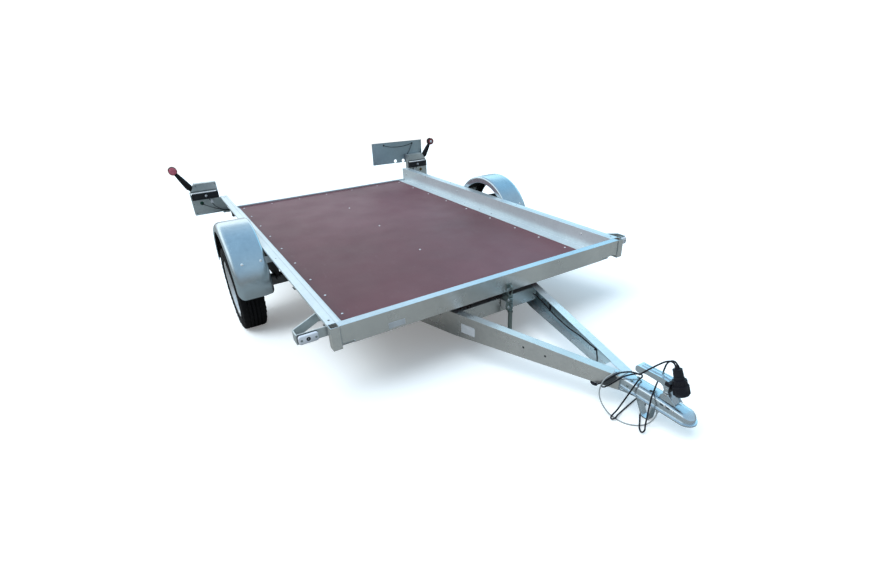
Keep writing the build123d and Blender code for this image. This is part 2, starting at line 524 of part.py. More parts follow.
# route points, one row each: (x, y, z)
LEAD_LEFT = [
    (55.6, -611.5, -50), (50, -620.6, -65.1), (41, -631.2, -78.6), (26, -643.5, -89.7), (6, -655.4, -99.8), (-18, -668.4, -108.3),
    (-42, -682.1, -112), (-64, -704.5, -104.5), (-68.6, -726.7, -92), (-63, -741.3, -80.5), (-57.5, -755.6, -63.9), (-53, -772.3, -43),
    (-49.5, -787, -24), (-35, -794.5, -13.5), (-23, -805.2, -7.5), (-12.4, -817.2, -2.5), (-6.6, -832.5, 2.5), (-6, -849, 8),
    (-9.5, -863, 13), (-22, -874, 21), (-30, -886.5, 38), (-26.5, -901, 57), (-14.5, -914, 73), (-4.5, -930, 92),
    (-3, -950, 114), (-5, -971, 129), (-5, -988.16, 124.72), (-5, -995, 108),
]
LEAD_RIGHT = [
    (-46.5, -652, -37), (-39, -665, -38), (-30, -677, -52), (-19.5, -688, -74), (-15.5, -700, -97), (-23, -716, -110.5),
    (-41, -733, -112), (-57.5, -755.5, -93), (-53.7, -770.1, -78.7), (-49.9, -782.9, -62.1), (-46, -796.5, -44.4), (-41.8, -810.4, -25.2),
    (-28.5, -818.5, -15), (-13.9, -826, -11.5), (1.6, -832.2, -10.5), (15.8, -838.5, -11), (25.5, -844.5, -11.5), (27, -854.5, -12),
    (18, -861.5, -12.5), (5, -863.5, -12), (-11.8, -867.5, -11.5), (-33.5, -874.5, -12), (-43, -872, -27.4), (-48.5, -867.3, -46),
    (-54, -862.3, -65.9), (-60, -856.5, -87.2), (-67, -851, -108.2), (-76, -847.6, -125.6), (-84, -843.9, -140.4), (-91.5, -841, -149),
    (-99.5, -840, -155), (-108.5, -843.5, -159), (-112, -851.5, -158), (-105.5, -858, -154.5), (-95, -857.5, -151.5), (-82, -852, -152.5),
    (-64, -845.5, -159), (-39.6, -838.8, -163.1), (-6.6, -832.7, -164.1), (27.4, -826.2, -165), (61.7, -820.1, -165.8), (88, -817, -166.3),
    (103, -830, -164.5), (94, -849, -161.8), (71, -862, -160), (43, -876, -158.1), (16, -886, -156.7), (-8, -896, -155.3),
    (-25, -909, -152.8), (-41, -920, -148.5), (-57, -931.5, -143.5), (-75, -943.5, -138.5), (-88, -953.5, -138.5), (-94.5, -962, -141),
    (-97, -971, -140.5), (-93, -976.5, -134.5), (-86, -974.5, -128.5), (-80, -969, -123.5), (-70, -962.8, -112.5), (-63, -959.3, -100),
    (-57, -955.9, -84.4), (-52, -953.2, -65.5), (-48, -951.7, -47), (-44, -949.4, -31), (-38.5, -947.5, -18), (-27.5, -943.4, -11),
    (-7.6, -934.3, -8.5), (11.8, -925.5, -6), (29, -918.5, -1), (38.5, -916.5, 10.5), (36, -923.3, 28), (29.5, -931.5, 47.9),
    (25, -936.2, 67.4), (18, -942.8, 88.4), (10.5, -953, 109), (6, -971.5, 127), (5, -988.16, 124.72), (5, -995, 108),
]
WIRE = [
    (-30, -779, -19.5), (-43, -779, -19.5), (-55, -776, -25), (-64.5, -768, -35), (-73, -763.5, -47.5), (-81, -761, -63),
    (-88, -761.5, -81), (-94, -765.5, -99), (-98.5, -775.4, -115.5), (-101.5, -790.5, -130), (-100, -806.5, -144.5), (-95.5, -822.2, -159),
    (-92.5, -841.5, -163.3), (-94.4, -865, -160.3), (-94, -889.7, -156.8), (-85.7, -913, -153.5), (-70.5, -932.5, -150.8), (-54, -943.8, -149),
    (-44, -953.4, -141.5), (-40.5, -962.5, -128), (-37.5, -968.7, -113.5), (-35.3, -973, -98.6), (-34, -975.5, -84), (-34, -975.5, -68),
]
# leads clipped under the beams' top flanges, from the cross member forward
HELD_LEFT = [(234, CM_Y, -68), (234, -26, -68), (226.5, -52, -66), (206, -114, -65), (182.5, -186, -68), (166.5, -242, -72), (149.3, -299, -71),
             (134.5, -349, -68.5), (119.7, -399, -64), (108, -438, -57), (96.8, -477, -51), (85.7, -514.5, -48), (75.5, -550, -46.5), (64.6, -586, -43),
             (60.08, -604.22, -37.92), (55.6, -611.5, -50)]
HELD_RIGHT = [(-x, y, z) for x, y, z in HELD_LEFT[:-2]] + [(-59.5, -612, -38.5), (-54, -639, -36), (-46.5, -652, -37)]

parts["plug_lead_left"] = tube_along("plug_lead_left", LEAD_LEFT, LEAD_R)
parts["plug_lead_right"] = tube_along("plug_lead_right", LEAD_RIGHT, LEAD_R)
parts["breakaway_wire"] = tube_along("breakaway_wire", WIRE, WIRE_R)
parts["lead_in_beam_left"] = tube_along("lead_in_beam_left", HELD_LEFT, LEAD_R)
parts["lead_in_beam_right"] = tube_along("lead_in_beam_right", HELD_RIGHT, LEAD_R)
parts["breakaway_anchor"] = box(-30, -16, -787, -771, BAR_TOP, -15)

# clips that hold the leads: (inner and outer x, y range, lower edge, lead)
under = BAR_TOP - BAR_T
CLIPS = (
    (178, 188, -196, -190, -75, "lead_in_beam_left"), (55, 66, -604, -597, -47, "lead_in_beam_left"),
    (-188, -178, -196, -190, -75, "lead_in_beam_right"), (-63, -49, -640, -633, -43, "lead_in_beam_right"),
)
parts["cable_clips"] = Compound([(box(x0, x1, y0, y1, z0, under) - parts[lead]).solid() for x0, x1, y0, y1, z0, lead in CLIPS])

# ---- place everything on the floor ----------------------------------------------------------------------------------
free = {"plug", "plug_lead_left", "plug_lead_right", "breakaway_wire"}
tilt = Location((0, 0, 0), (PITCH, 0, 0))
placed = {k: (v if isinstance(v, (Solid, Compound)) else v.solid()).moved(tilt) for k, v in parts.items()}
boxes = [p.bounding_box() for k, p in placed.items() if k not in free]
lo = [min(getattr(b.min, c) for b in boxes) for c in "XYZ"]
hi = [max(getattr(b.max, c) for b in boxes) for c in "XYZ"]
shift = Location((-(lo[0] + hi[0]) / 2, -(lo[1] + hi[1]) / 2, -lo[2]))
for name, p in placed.items():
    export_step(p.moved(shift), "parts/" + name + ".step")
print("pitch", round(PITCH, 3), "shift", [round(v, 3) for v in (-(lo[0] + hi[0]) / 2, -(lo[1] + hi[1]) / 2, -lo[2])],
      "size", [round(h - l, 1) for l, h in zip(lo, hi)])
hp = shift * tilt * Pos(0, HINGE_Y, HINGE_Z)
wp = shift * tilt * Pos(0, AXLE_Y, AXLE_Z)
print("hinge", hp.position, "axle", wp.position)
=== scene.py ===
import bpy, bmesh, math, random
from mathutils import Vector, Matrix


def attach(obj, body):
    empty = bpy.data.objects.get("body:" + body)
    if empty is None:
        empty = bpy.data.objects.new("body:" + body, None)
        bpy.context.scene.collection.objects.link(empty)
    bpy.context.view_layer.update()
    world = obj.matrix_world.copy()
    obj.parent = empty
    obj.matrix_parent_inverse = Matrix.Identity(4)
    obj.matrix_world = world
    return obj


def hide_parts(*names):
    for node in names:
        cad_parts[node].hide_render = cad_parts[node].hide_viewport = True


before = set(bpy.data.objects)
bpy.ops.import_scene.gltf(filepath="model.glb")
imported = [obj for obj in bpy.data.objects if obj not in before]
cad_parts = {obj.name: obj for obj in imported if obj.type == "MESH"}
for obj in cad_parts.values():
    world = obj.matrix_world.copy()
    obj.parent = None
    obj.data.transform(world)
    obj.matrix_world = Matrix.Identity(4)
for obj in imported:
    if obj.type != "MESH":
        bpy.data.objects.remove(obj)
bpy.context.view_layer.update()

# The trailer is drawn in its level frame (millimetres, bed level, y rearward),
# then pitched nose down onto the floor: PITCH about X, then SHIFT.
FOOT_Z, AXLE_Y, AXLE_Z, TYRE_R, FOOT_Y0 = -153.0, 1364.0, -200.0, 268.0, -937.0
slope = 0.13
for _ in range(30):
    slope = (FOOT_Z - AXLE_Z + TYRE_R * math.sqrt(1 + slope * slope)) / (AXLE_Y - FOOT_Y0)
PITCH = math.atan(slope)
SHIFT = Vector((0.0, -790.92, 279.656))
M = Matrix.Translation(SHIFT * 0.001) @ Matrix.Rotation(PITCH, 4, 'X') @ Matrix.Scale(0.001, 4)
SPIN = Matrix.Rotation(PITCH, 3, 'X')


def T(x, y, z):
    return M @ Vector((x, y, z))


# ---- camera: the photograph's view, held to the level frame ------------------
row_x = Vector((0.8398734, -0.5419586, -0.0298916))
row_y = Vector((-0.2687202, -0.3673244, -0.8904281))
row_z = Vector((0.4715953, 0.7558794, -0.4541412))
cam_data = bpy.data.cameras.new("camera")
cam = bpy.data.objects.new("camera", cam_data)
bpy.context.collection.objects.link(cam)
rx, ry, rz = SPIN @ row_x, SPIN @ -row_y, SPIN @ -row_z
rot = Matrix((rx, ry, rz)).transposed().to_4x4()
cam.matrix_world = Matrix.Translation(T(-1323.97, -1709.88, 1062.02)) @ rot
cam_data.sensor_fit = 'HORIZONTAL'
cam_data.sensor_width = 36.0
cam_data.lens = 36.0 * 472.056 / 870.0
cam_data.shift_x = (435.0 - 454.934) / 870.0
cam_data.shift_y = (300.706 - 284.5) / 870.0
cam_data.clip_start = 0.05
cam_data.clip_end = 60.0
bpy.context.scene.camera = cam

# ---- cords: the trailer's free cables, route points in the level frame --------
LEAD_LEFT = [
    (55.6, -611.5, -50), (50, -620.6, -65.1), (41, -631.2, -78.6), (26, -643.5, -89.7), (6, -655.4, -99.8), (-18, -668.4, -108.3),
    (-42, -682.1, -112), (-64, -704.5, -104.5), (-68.6, -726.7, -92), (-63, -741.3, -80.5), (-57.5, -755.6, -63.9), (-53, -772.3, -43),
    (-49.5, -787, -24), (-35, -794.5, -13.5), (-23, -805.2, -7.5), (-12.4, -817.2, -2.5), (-6.6, -832.5, 2.5), (-6, -849, 8),
    (-9.5, -863, 13), (-22, -874, 21), (-30, -886.5, 38), (-26.5, -901, 57), (-14.5, -914, 73), (-4.5, -930, 92),
    (-3, -950, 114), (-5, -971, 129), (-5, -988.16, 124.72), (-5, -995, 108),
]
LEAD_RIGHT = [
    (-46.5, -652, -37), (-39, -665, -38), (-30, -677, -52), (-19.5, -688, -74), (-15.5, -700, -97), (-23, -716, -110.5),
    (-41, -733, -112), (-57.5, -755.5, -93), (-53.7, -770.1, -78.7), (-49.9, -782.9, -62.1), (-46, -796.5, -44.4), (-41.8, -810.4, -25.2),
    (-28.5, -818.5, -15), (-13.9, -826, -11.5), (1.6, -832.2, -10.5), (15.8, -838.5, -11), (25.5, -844.5, -11.5), (27, -854.5, -12),
    (18, -861.5, -12.5), (5, -863.5, -12), (-11.8, -867.5, -11.5), (-33.5, -874.5, -12), (-43, -872, -27.4), (-48.5, -867.3, -46),
    (-54, -862.3, -65.9), (-60, -856.5, -87.2), (-67, -851, -108.2), (-76, -847.6, -125.6), (-84, -843.9, -140.4), (-91.5, -841, -149),
    (-99.5, -840, -155), (-108.5, -843.5, -159), (-112, -851.5, -158), (-105.5, -858, -154.5), (-95, -857.5, -151.5), (-82, -852, -152.5),
    (-64, -845.5, -159), (-39.6, -838.8, -163.1), (-6.6, -832.7, -164.1), (27.4, -826.2, -165), (61.7, -820.1, -165.8), (88, -817, -166.3),
    (103, -830, -164.5), (94, -849, -161.8), (71, -862, -160), (43, -876, -158.1), (16, -886, -156.7), (-8, -896, -155.3),
    (-25, -909, -152.8), (-41, -920, -148.5), (-57, -931.5, -143.5), (-75, -943.5, -138.5), (-88, -953.5, -138.5), (-94.5, -962, -141),
    (-97, -971, -140.5), (-93, -976.5, -134.5), (-86, -974.5, -128.5), (-80, -969, -123.5), (-70, -962.8, -112.5), (-63, -959.3, -100),
    (-57, -955.9, -84.4), (-52, -953.2, -65.5), (-48, -951.7, -47), (-44, -949.4, -31), (-38.5, -947.5, -18), (-27.5, -943.4, -11),
    (-7.6, -934.3, -8.5), (11.8, -925.5, -6), (29, -918.5, -1), (38.5, -916.5, 10.5), (36, -923.3, 28), (29.5, -931.5, 47.9),
    (25, -936.2, 67.4), (18, -942.8, 88.4), (10.5, -953, 109), (6, -971.5, 127), (5, -988.16, 124.72), (5, -995, 108),
]
WIRE = [
    (-30, -779, -19.5), (-43, -779, -19.5), (-55, -776, -25), (-64.5, -768, -35), (-73, -763.5, -47.5), (-81, -761, -63),
    (-88, -761.5, -81), (-94, -765.5, -99), (-98.5, -775.4, -115.5), (-101.5, -790.5, -130), (-100, -806.5, -144.5), (-95.5, -822.2, -159),
    (-92.5, -841.5, -163.3), (-94.4, -865, -160.3), (-94, -889.7, -156.8), (-85.7, -913, -153.5), (-70.5, -932.5, -150.8), (-54, -943.8, -149),
    (-44, -953.4, -141.5), (-40.5, -962.5, -128), (-37.5, -968.7, -113.5), (-35.3, -973, -98.6), (-34, -975.5, -84), (-34, -975.5, -68),
]


def cord_curve(name, points, radius, mat):
    data = bpy.data.curves.new(name, 'CURVE')
    data.dimensions = '3D'
    data.bevel_depth = radius * 0.001
    data.bevel_resolution = 4
    data.resolution_u = 8
    data.use_fill_caps = True
    s = data.splines.new('NURBS')
    s.points.add(len(points) - 1)
    for p, q in zip(s.points, points):
        p.co = (*T(*q), 1.0)
    s.order_u = 3
    s.use_endpoint_u = True
    data.materials.append(mat)
    o = bpy.data.objects.new(name, data)
    bpy.context.collection.objects.link(o)
    return o


def named_material(name):
    return bpy.data.materials.get(name) or bpy.data.materials.new(name)


cords = {}
for name, points, radius, length, end in (
        ("plug_lead_left_cord", LEAD_LEFT, 3.0, 0.597, "object"),
        ("plug_lead_right_cord", LEAD_RIGHT, 3.0, 1.4655, "plug"),
        ("breakaway_wire_cord", WIRE, 2.5, 0.4296, "object")):
    o = cord_curve(name, points, radius, named_material("cable_grey" if "wire" in name else "cable_black"))
    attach(o, "drawbar")
    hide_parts(name.replace("_cord", ""))
    cords[name] = o


# ---- material kit ----------------------------------------------------------------
def new_mat(name):
    m = named_material(name)
    m.use_nodes = True
    n, l = m.node_tree.nodes, m.node_tree.links
    bsdf = n["Principled BSDF"]
    co = n.new("ShaderNodeTexCoord").outputs["Object"]
    return m, n, l, bsdf, co


def noise(n, l, co, scale, detail=3.0, rough=0.55, stretch=None):
    if stretch:
        mp = n.new("ShaderNodeMapping")
        mp.inputs["Scale"].default_value = stretch
        l.new(co, mp.inputs["Vector"])
        co = mp.outputs["Vector"]
    t = n.new("ShaderNodeTexNoise")
    t.inputs["Scale"].default_value = scale
    t.inputs["Detail"].default_value = detail
    t.inputs["Roughness"].default_value = rough
    l.new(co, t.inputs["Vector"])
    return t.outputs["Fac"]


def ramp(n, l, fac, stops):
    r = n.new("ShaderNodeValToRGB")
    e = r.color_ramp.elements
    while len(e) < len(stops):
        e.new(0.5)
    for i, (p, c) in enumerate(stops):
        e[i].position = p
        e[i].color = (*c, 1.0) if len(c) == 3 else c
    l.new(fac, r.inputs["Fac"])
    return r.outputs["Color"]


def span(n, l, fac, lo, hi):
    r = n.new("ShaderNodeMapRange")
    r.inputs["To Min"].default_value = lo
    r.inputs["To Max"].default_value = hi
    l.new(fac, r.inputs["Value"])
    return r.outputs["Result"]


def mix(n, l, fac, a, b, kind='MIX'):
    m = n.new("ShaderNodeMix")
    m.data_type = 'RGBA'
    m.blend_type = kind
    if isinstance(fac, float):
        m.inputs["Factor"].default_value = fac
    else:
        l.new(fac, m.inputs["Factor"])
    for slot, v in ((6, a), (7, b)):
        if isinstance(v, tuple):
            m.inputs[slot].default_value = (*v, 1.0)
        else:
            l.new(v, m.inputs[slot])
    return m.outputs[2]


def bumps(n, l, bsdf, layers, bevel=0.0):
    """layers: (height socket, distance, strength); bevel rounds the sharp folds."""
    last = None
    if bevel:
        b = n.new("ShaderNodeBevel")
        b.samples = 4
        b.inputs["Radius"].default_value = bevel
        last = b.outputs["Normal"]
    for h, dist, strength in layers:
        b = n.new("ShaderNodeBump")
        b.inputs["Distance"].default_value = dist
        b.inputs["Strength"].default_value = strength
        l.new(h, b.inputs["Height"])
        if last is not None:
            l.new(last, b.inputs["Normal"])
        last = b.outputs["Normal"]
    if last is not None:
        l.new(last, bsdf.inputs["Normal"])


def zinc(name, light, dark, rough=(0.30, 0.48), metal=0.75, bevel=0.0015, scale=26.0, spec=0.5, streak=None, top=None, side=None):
    """Hot-dip or plated zinc: soft spangle, cloudy tone, small scratches; the colours top and side multiply up-facing
    and sideways faces, a painted reflection of the sky.
    """
    m, n, l, bsdf, co = new_mat(name)
    cloud = noise(n, l, co, 3.2, 4.0)
    v = n.new("ShaderNodeTexVoronoi")
    v.inputs["Scale"].default_value = scale * 4
    l.new(co, v.inputs["Vector"])
    sep = n.new("ShaderNodeSeparateColor")
    l.new(v.outputs["Color"], sep.inputs["Color"])
    mid = tuple((a + b) / 2 for a, b in zip(light, dark))
    base = ramp(n, l, cloud, [(0.30, dark), (0.52, mid), (0.70, light)])
    flake = ramp(n, l, sep.outputs["Red"], [(0.0, (0.90, 0.90, 0.90)), (1.0, (1.0, 1.0, 1.0))])
    col = mix(n, l, 0.35, base, flake, 'MULTIPLY')
    grime = noise(n, l, co, 40.0, 6.0, 0.7, streak or (1.0, 1.0, 1.0))
    col = mix(n, l, 0.35, col, ramp(n, l, grime, [(0.35, (0.82, 0.83, 0.84)), (0.6, (1, 1, 1))]), 'MULTIPLY')
    # painted reflection: faces turned up take the top colour, faces turned sideways take the side colour
    if top is not None or side is not None:
        facing, up = n.new("ShaderNodeTexCoord"), n.new("ShaderNodeSeparateXYZ")
        l.new(facing.outputs["Normal"], up.inputs["Vector"])
        col = mix(n, l, 1.0, col, ramp(n, l, up.outputs["Z"], [(0.93, side or (1, 1, 1)), (0.98, top or (1, 1, 1))]), 'MULTIPLY')
    l.new(col, bsdf.inputs["Base Color"])
    bsdf.inputs["Metallic"].default_value = metal
    bsdf.inputs["Specular IOR Level"].default_value = spec
    l.new(span(n, l, noise(n, l, co, 9.0, 5.0), rough[0], rough[1]), bsdf.inputs["Roughness"])
    wave = noise(n, l, co, 2.2, 2.0)
    fine = noise(n, l, co, 420.0, 3.0)
    bumps(n, l, bsdf, [(wave, 0.010, 0.10), (sep.outputs["Green"], 0.0004, 0.03), (fine, 0.0003, 0.05)], bevel)
    return m


def plastic(name, colour, rough=(0.38, 0.55), grain=700.0, bevel=0.001, spec=0.5, tint=0.25):
    m, n, l, bsdf, co = new_mat(name)
    dark = tuple(c * (1 - tint) for c in colour)
    dust = tuple(min(1.0, c + 0.03) for c in colour)
    l.new(ramp(n, l, noise(n, l, co, 14.0, 4.0), [(0.3, dark), (0.55, colour), (0.75, dust)]), bsdf.inputs["Base Color"])
    bsdf.inputs["Specular IOR Level"].default_value = spec
    l.new(span(n, l, noise(n, l, co, 22.0, 4.0), rough[0], rough[1]), bsdf.inputs["Roughness"])
    bumps(n, l, bsdf, [(noise(n, l, co, grain, 2.0), 0.0004, 0.25)], bevel)
    return m


def film_ply():
    """Phenolic film on plywood: mauve brown, faint wire-mesh grain, scuffs."""
    m, n, l, bsdf, co = new_mat("film_faced_plywood")
    broad = noise(n, l, co, 1.1, 3.0, 0.5)
    patch = noise(n, l, co, 6.0, 5.0, 0.6)
    col = ramp(n, l, broad, [(0.32, (0.108, 0.037, 0.046)), (0.50, (0.132, 0.047, 0.058)), (0.68, (0.158, 0.062, 0.076))])
    col = mix(n, l, 0.40, col, ramp(n, l, patch, [(0.35, (0.82, 0.80, 0.82)), (0.62, (1, 1, 1))]), 'MULTIPLY')
    scuff = noise(n, l, co, 60.0, 7.0, 0.75, (1.0, 0.12, 1.0))
    col = mix(n, l, ramp(n, l, scuff, [(0.60, (0, 0, 0)), (0.74, (0.30, 0.30, 0.30))]), col, (0.26, 0.18, 0.20))
    l.new(col, bsdf.inputs["Base Color"])
    bsdf.inputs["Specular IOR Level"].default_value = 0.30
    l.new(span(n, l, noise(n, l, co, 5.0, 4.0), 0.40, 0.58), bsdf.inputs["Roughness"])
    w1, w2 = n.new("ShaderNodeTexWave"), n.new("ShaderNodeTexWave")
    for w, d in ((w1, 'X'), (w2, 'Y')):
        w.bands_direction = d
        w.inputs["Scale"].default_value = 110.0
        w.inputs["Distortion"].default_value = 0.3
        l.new(co, w.inputs["Vector"])
    bumps(n, l, bsdf, [(noise(n, l, co, 1.6, 2.0), 0.006, 0.15), (w1.outputs["Fac"], 0.0003, 0.12), (w2.outputs["Fac"], 0.0003, 0.12)], 0.0008)
    return m


def ply_edge():
    m, n, l, bsdf, co = new_mat("plywood_edge")
    w = n.new("ShaderNodeTexWave")
    w.bands_direction = 'Z'
    w.inputs["Scale"].default_value = 170.0
    w.inputs["Distortion"].default_value = 1.5
    l.new(co, w.inputs["Vector"])
    l.new(ramp(n, l, w.outputs["Fac"], [(0.2, (0.16, 0.09, 0.05)), (0.8, (0.42, 0.28, 0.17))]), bsdf.inputs["Base Color"])
    l.new(span(n, l, noise(n, l, co, 30.0), 0.7, 0.9), bsdf.inputs["Roughness"])
    bumps(n, l, bsdf, [(w.outputs["Fac"], 0.0006, 0.4)])
    return m


def rubber(name, colour=(0.011, 0.0105, 0.013), rough=(0.55, 0.78)):
    m, n, l, bsdf, co = new_mat(name)
    dark = tuple(c * 0.6 for c in colour)
    dusty = tuple(c * 2.2 + 0.002 for c in colour)
    l.new(ramp(n, l, noise(n, l, co, 7.0, 6.0, 0.7), [(0.30, dark), (0.55, colour), (0.80, dusty)]), bsdf.inputs["Base Color"])
    bsdf.inputs["Specular IOR Level"].default_value = 0.28
    l.new(span(n, l, noise(n, l, co, 30.0, 4.0), rough[0], rough[1]), bsdf.inputs["Roughness"])
    bumps(n, l, bsdf, [(noise(n, l, co, 900.0, 2.0), 0.0005, 0.3)], 0.001)
    return m


def lens(name, colour, deep, ridge=260.0):
    m, n, l, bsdf, co = new_mat(name)
    w = n.new("ShaderNodeTexWave")
    w.bands_direction = 'X'
    w.inputs["Scale"].default_value = ridge
    l.new(co, w.inputs["Vector"])
    l.new(mix(n, l, noise(n, l, co, 35.0, 3.0), colour, deep), bsdf.inputs["Base Color"])
    bsdf.inputs["Roughness"].default_value = 0.16
    bsdf.inputs["Coat Weight"].default_value = 0.6
    bsdf.inputs["Coat Roughness"].default_value = 0.08
    bumps(n, l, bsdf, [(w.outputs["Fac"], 0.0006, 0.35)], 0.001)
    return m


# top colours paint a bluer sky reflection on up-facing faces; the left beam is its own copy whose side colour paints
# that reflection on its side faces
GALV = zinc("galvanised_rail", (0.84, 0.82, 0.79), (0.70, 0.685, 0.66), rough=(0.20, 0.32), metal=0.78, top=(0.62, 0.77, 0.92))
GALV_WALL = zinc("galvanised_side_rail", (0.80, 0.87, 0.89), (0.68, 0.75, 0.78), rough=(0.24, 0.36), metal=0.45, top=(0.84, 0.86, 0.89))
GUSSET = zinc("galvanised_gusset", (0.88, 0.86, 0.87), (0.76, 0.745, 0.75), rough=(0.30, 0.42), metal=0.5)
GALV_BEAM = zinc("galvanised_beam", (0.84, 0.82, 0.795), (0.70, 0.685, 0.665), rough=(0.22, 0.34), metal=0.82, top=(0.92, 0.95, 0.98))
GALV_BEAM_L = zinc("galvanised_beam_left", (0.88, 0.88, 0.90), (0.74, 0.74, 0.76), rough=(0.22, 0.34), metal=0.82, side=(0.70, 0.92, 0.99))
GALV_SHEET = zinc("galvanised_guard", (0.64, 0.74, 0.80), (0.50, 0.59, 0.65), rough=(0.17, 0.25), metal=0.95, scale=18.0)
GALV_DULL = zinc("galvanised_chassis", (0.52, 0.55, 0.56), (0.36, 0.38, 0.39), rough=(0.42, 0.58), metal=0.7)
GALV_BOX = zinc("galvanised_carrier", (0.78, 0.82, 0.82), (0.40, 0.44, 0.45), rough=(0.26, 0.42), metal=0.66, bevel=0.0008)
BOARD = zinc("board_sheet", (0.46, 0.565, 0.62), (0.345, 0.435, 0.485), rough=(0.30, 0.40), metal=0.75, bevel=0.0006)
ZINC = zinc("zinc_plated", (0.80, 0.88, 0.94), (0.60, 0.68, 0.74), rough=(0.18, 0.28), metal=0.92, scale=60.0, bevel=0.0008)
ZINC_DARK = zinc("zinc_plated_worn", (0.46, 0.53, 0.51), (0.20, 0.24, 0.235), rough=(0.26, 0.46), metal=0.88, scale=60.0, bevel=0.0006)
STEEL = zinc("screw_steel", (0.90, 0.90, 0.90), (0.68, 0.69, 0.71), rough=(0.16, 0.28), metal=0.92, bevel=0.0004)
BRIGHT = zinc("screw_bright", (0.95, 0.95, 0.95), (0.86, 0.87, 0.88), rough=(0.3, 0.45), metal=0.35, bevel=0.0)
SILVER = zinc("rim_silver", (0.86, 0.87, 0.88), (0.66, 0.67, 0.69), rough=(0.26, 0.4), metal=0.5, scale=50.0)
ARM = zinc("axle_steel", (0.24, 0.25, 0.26), (0.11, 0.115, 0.12), rough=(0.45, 0.65), metal=0.75)
WELD = zinc("weld_bead", (0.60, 0.64, 0.65), (0.40, 0.43, 0.44), rough=(0.35, 0.55), metal=0.75, scale=90.0, bevel=0.0)
PLY, PLY_EDGE = film_ply(), ply_edge()
SEALED = plastic("sealed_edge", (0.50, 0.51, 0.52), (0.45, 0.65), 400.0, 0.0, tint=0.2)
TYRE = rubber("tyre_rubber", (0.0045, 0.004, 0.0055), (0.70, 0.9))
SOFT_BLACK = rubber("lamp_rubber", (0.009, 0.0085, 0.0095), (0.5, 0.7))
BLACK = plastic("black_plastic", (0.010, 0.0105, 0.015), (0.38, 0.58), spec=0.4)
PLUG_BLACK = plastic("plug_black", (0.008, 0.008, 0.013), (0.42, 0.6), 500.0, spec=0.35)
CABLE_BLACK = plastic("cable_black", (0.008, 0.008, 0.014), (0.46, 0.62), 900.0, spec=0.3)
CABLE_GREY = plastic("cable_grey", (0.36, 0.375, 0.38), (0.35, 0.5), 900.0, tint=0.15)
WHITE = plastic("white_plastic", (0.78, 0.78, 0.82), (0.3, 0.45), 600.0, tint=0.12)
PALE = plastic("pale_label", (0.62, 0.63, 0.66), (0.35, 0.6), 300.0, 0.0, tint=0.25)
# near-black for holes, slots and recesses: painted shade inside them
HOLE_SHADE = plastic("dark_recess", (0.03, 0.032, 0.035), (0.7, 0.9), 300.0, 0.0)
# grey for the painted shade of the leads on the near beam
LEAD_SHADE = plastic("worn_grime", (0.085, 0.09, 0.095), (0.5, 0.7), 300.0, 0.0)
GREEN = plastic("green_grommet", (0.004, 0.075, 0.045), (0.35, 0.5), 500.0)
AMBER = plastic("brass_grommet", (0.20, 0.12, 0.03), (0.35, 0.5), 500.0)
CAP = plastic("dust_cap", (0.045, 0.047, 0.05), (0.35, 0.55), 500.0)
RED = lens("red_lens", (0.55, 0.035, 0.055), (0.33, 0.01, 0.02))
DEEP_RED = lens("deep_red_lens", (0.30, 0.02, 0.035), (0.14, 0.008, 0.012))
# near-black colour for the mudguards' inner faces
GUARD_INNER_DARK = plastic("guard_underside", (0.030, 0.030, 0.033), (0.6, 0.8), 400.0, 0.0, spec=0.3)
PINK = lens("pink_lens", (0.80, 0.22, 0.30), (0.60, 0.10, 0.15))
CLEAR = lens("clear_lens", (0.82, 0.83, 0.88), (0.68, 0.69, 0.76), 200.0)
AMBER_LENS = lens("amber_lens", (0.75, 0.22, 0.02), (0.55, 0.13, 0.01))

NODE_MATS = {
    "side_rail_right": GALV_WALL, "side_rail_left": GALV_WALL, "front_cross_member": GALV, "rear_cross_member": GALV,
    "corner_pockets": GALV, "bed_bearers": GALV_DULL, "chassis_rail_right": GALV_DULL, "chassis_rail_left": GALV_DULL,
    "marker_brackets": GALV_BOX, "front_marker_lamps": WHITE, "mudguard_right": GALV_SHEET, "mudguard_left": GALV_SHEET,
    "mudguard_stays": GALV_DULL, "axle_tube": ARM, "axle_arms": ARM, "axle_pads": ARM,
    "tyre_right": TYRE, "tyre_left": TYRE, "rim_right": SILVER, "rim_left": SILVER, "hub_right": CAP, "hub_left": CAP,
    "lamp_box_right": GALV_BOX, "lamp_box_left": GALV_BOX, "rear_lamps": BLACK, "arm_lamps": SOFT_BLACK,
    "number_plate_board": BOARD, "drawbar_beam_right": GALV_BEAM, "drawbar_beam_left": GALV_BEAM_L,
    "drawbar_cross_member": GALV_BEAM, "drawbar_gusset": GUSSET, "drawbar_hinge_tube": GALV_DULL,
    "hinge_lugs": GALV_DULL, "hinge_pin": STEEL, "coupling_head": ZINC, "coupling_foot": ZINC, "coupling_handle": ZINC,
    "latch_rod": ZINC_DARK, "latch_body": ZINC_DARK, "latch_staple": ZINC_DARK, "plug": PLUG_BLACK, "plug_holder": BLACK,
    "plug_lead_left": CABLE_BLACK, "plug_lead_right": CABLE_BLACK, "breakaway_wire": CABLE_GREY,
    "breakaway_anchor": ZINC, "lead_in_beam_left": CABLE_BLACK, "lead_in_beam_right": CABLE_BLACK,
    "cable_clips": BLACK, "plywood_deck": PLY,
}
for name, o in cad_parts.items():
    o.data.materials.clear()
    o.data.materials.append(NODE_MATS[name])
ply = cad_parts["plywood_deck"]
ply.data.materials.append(PLY_EDGE)
ply.data.materials.append(SEALED)
up, back = SPIN @ Vector((0, 0, 1)), SPIN @ Vector((0, 1, 0))
for f in ply.data.polygons:
    f.material_index = 0 if abs(f.normal.dot(up)) > 0.7 else 1 if f.normal.dot(back) > 0.7 else 2


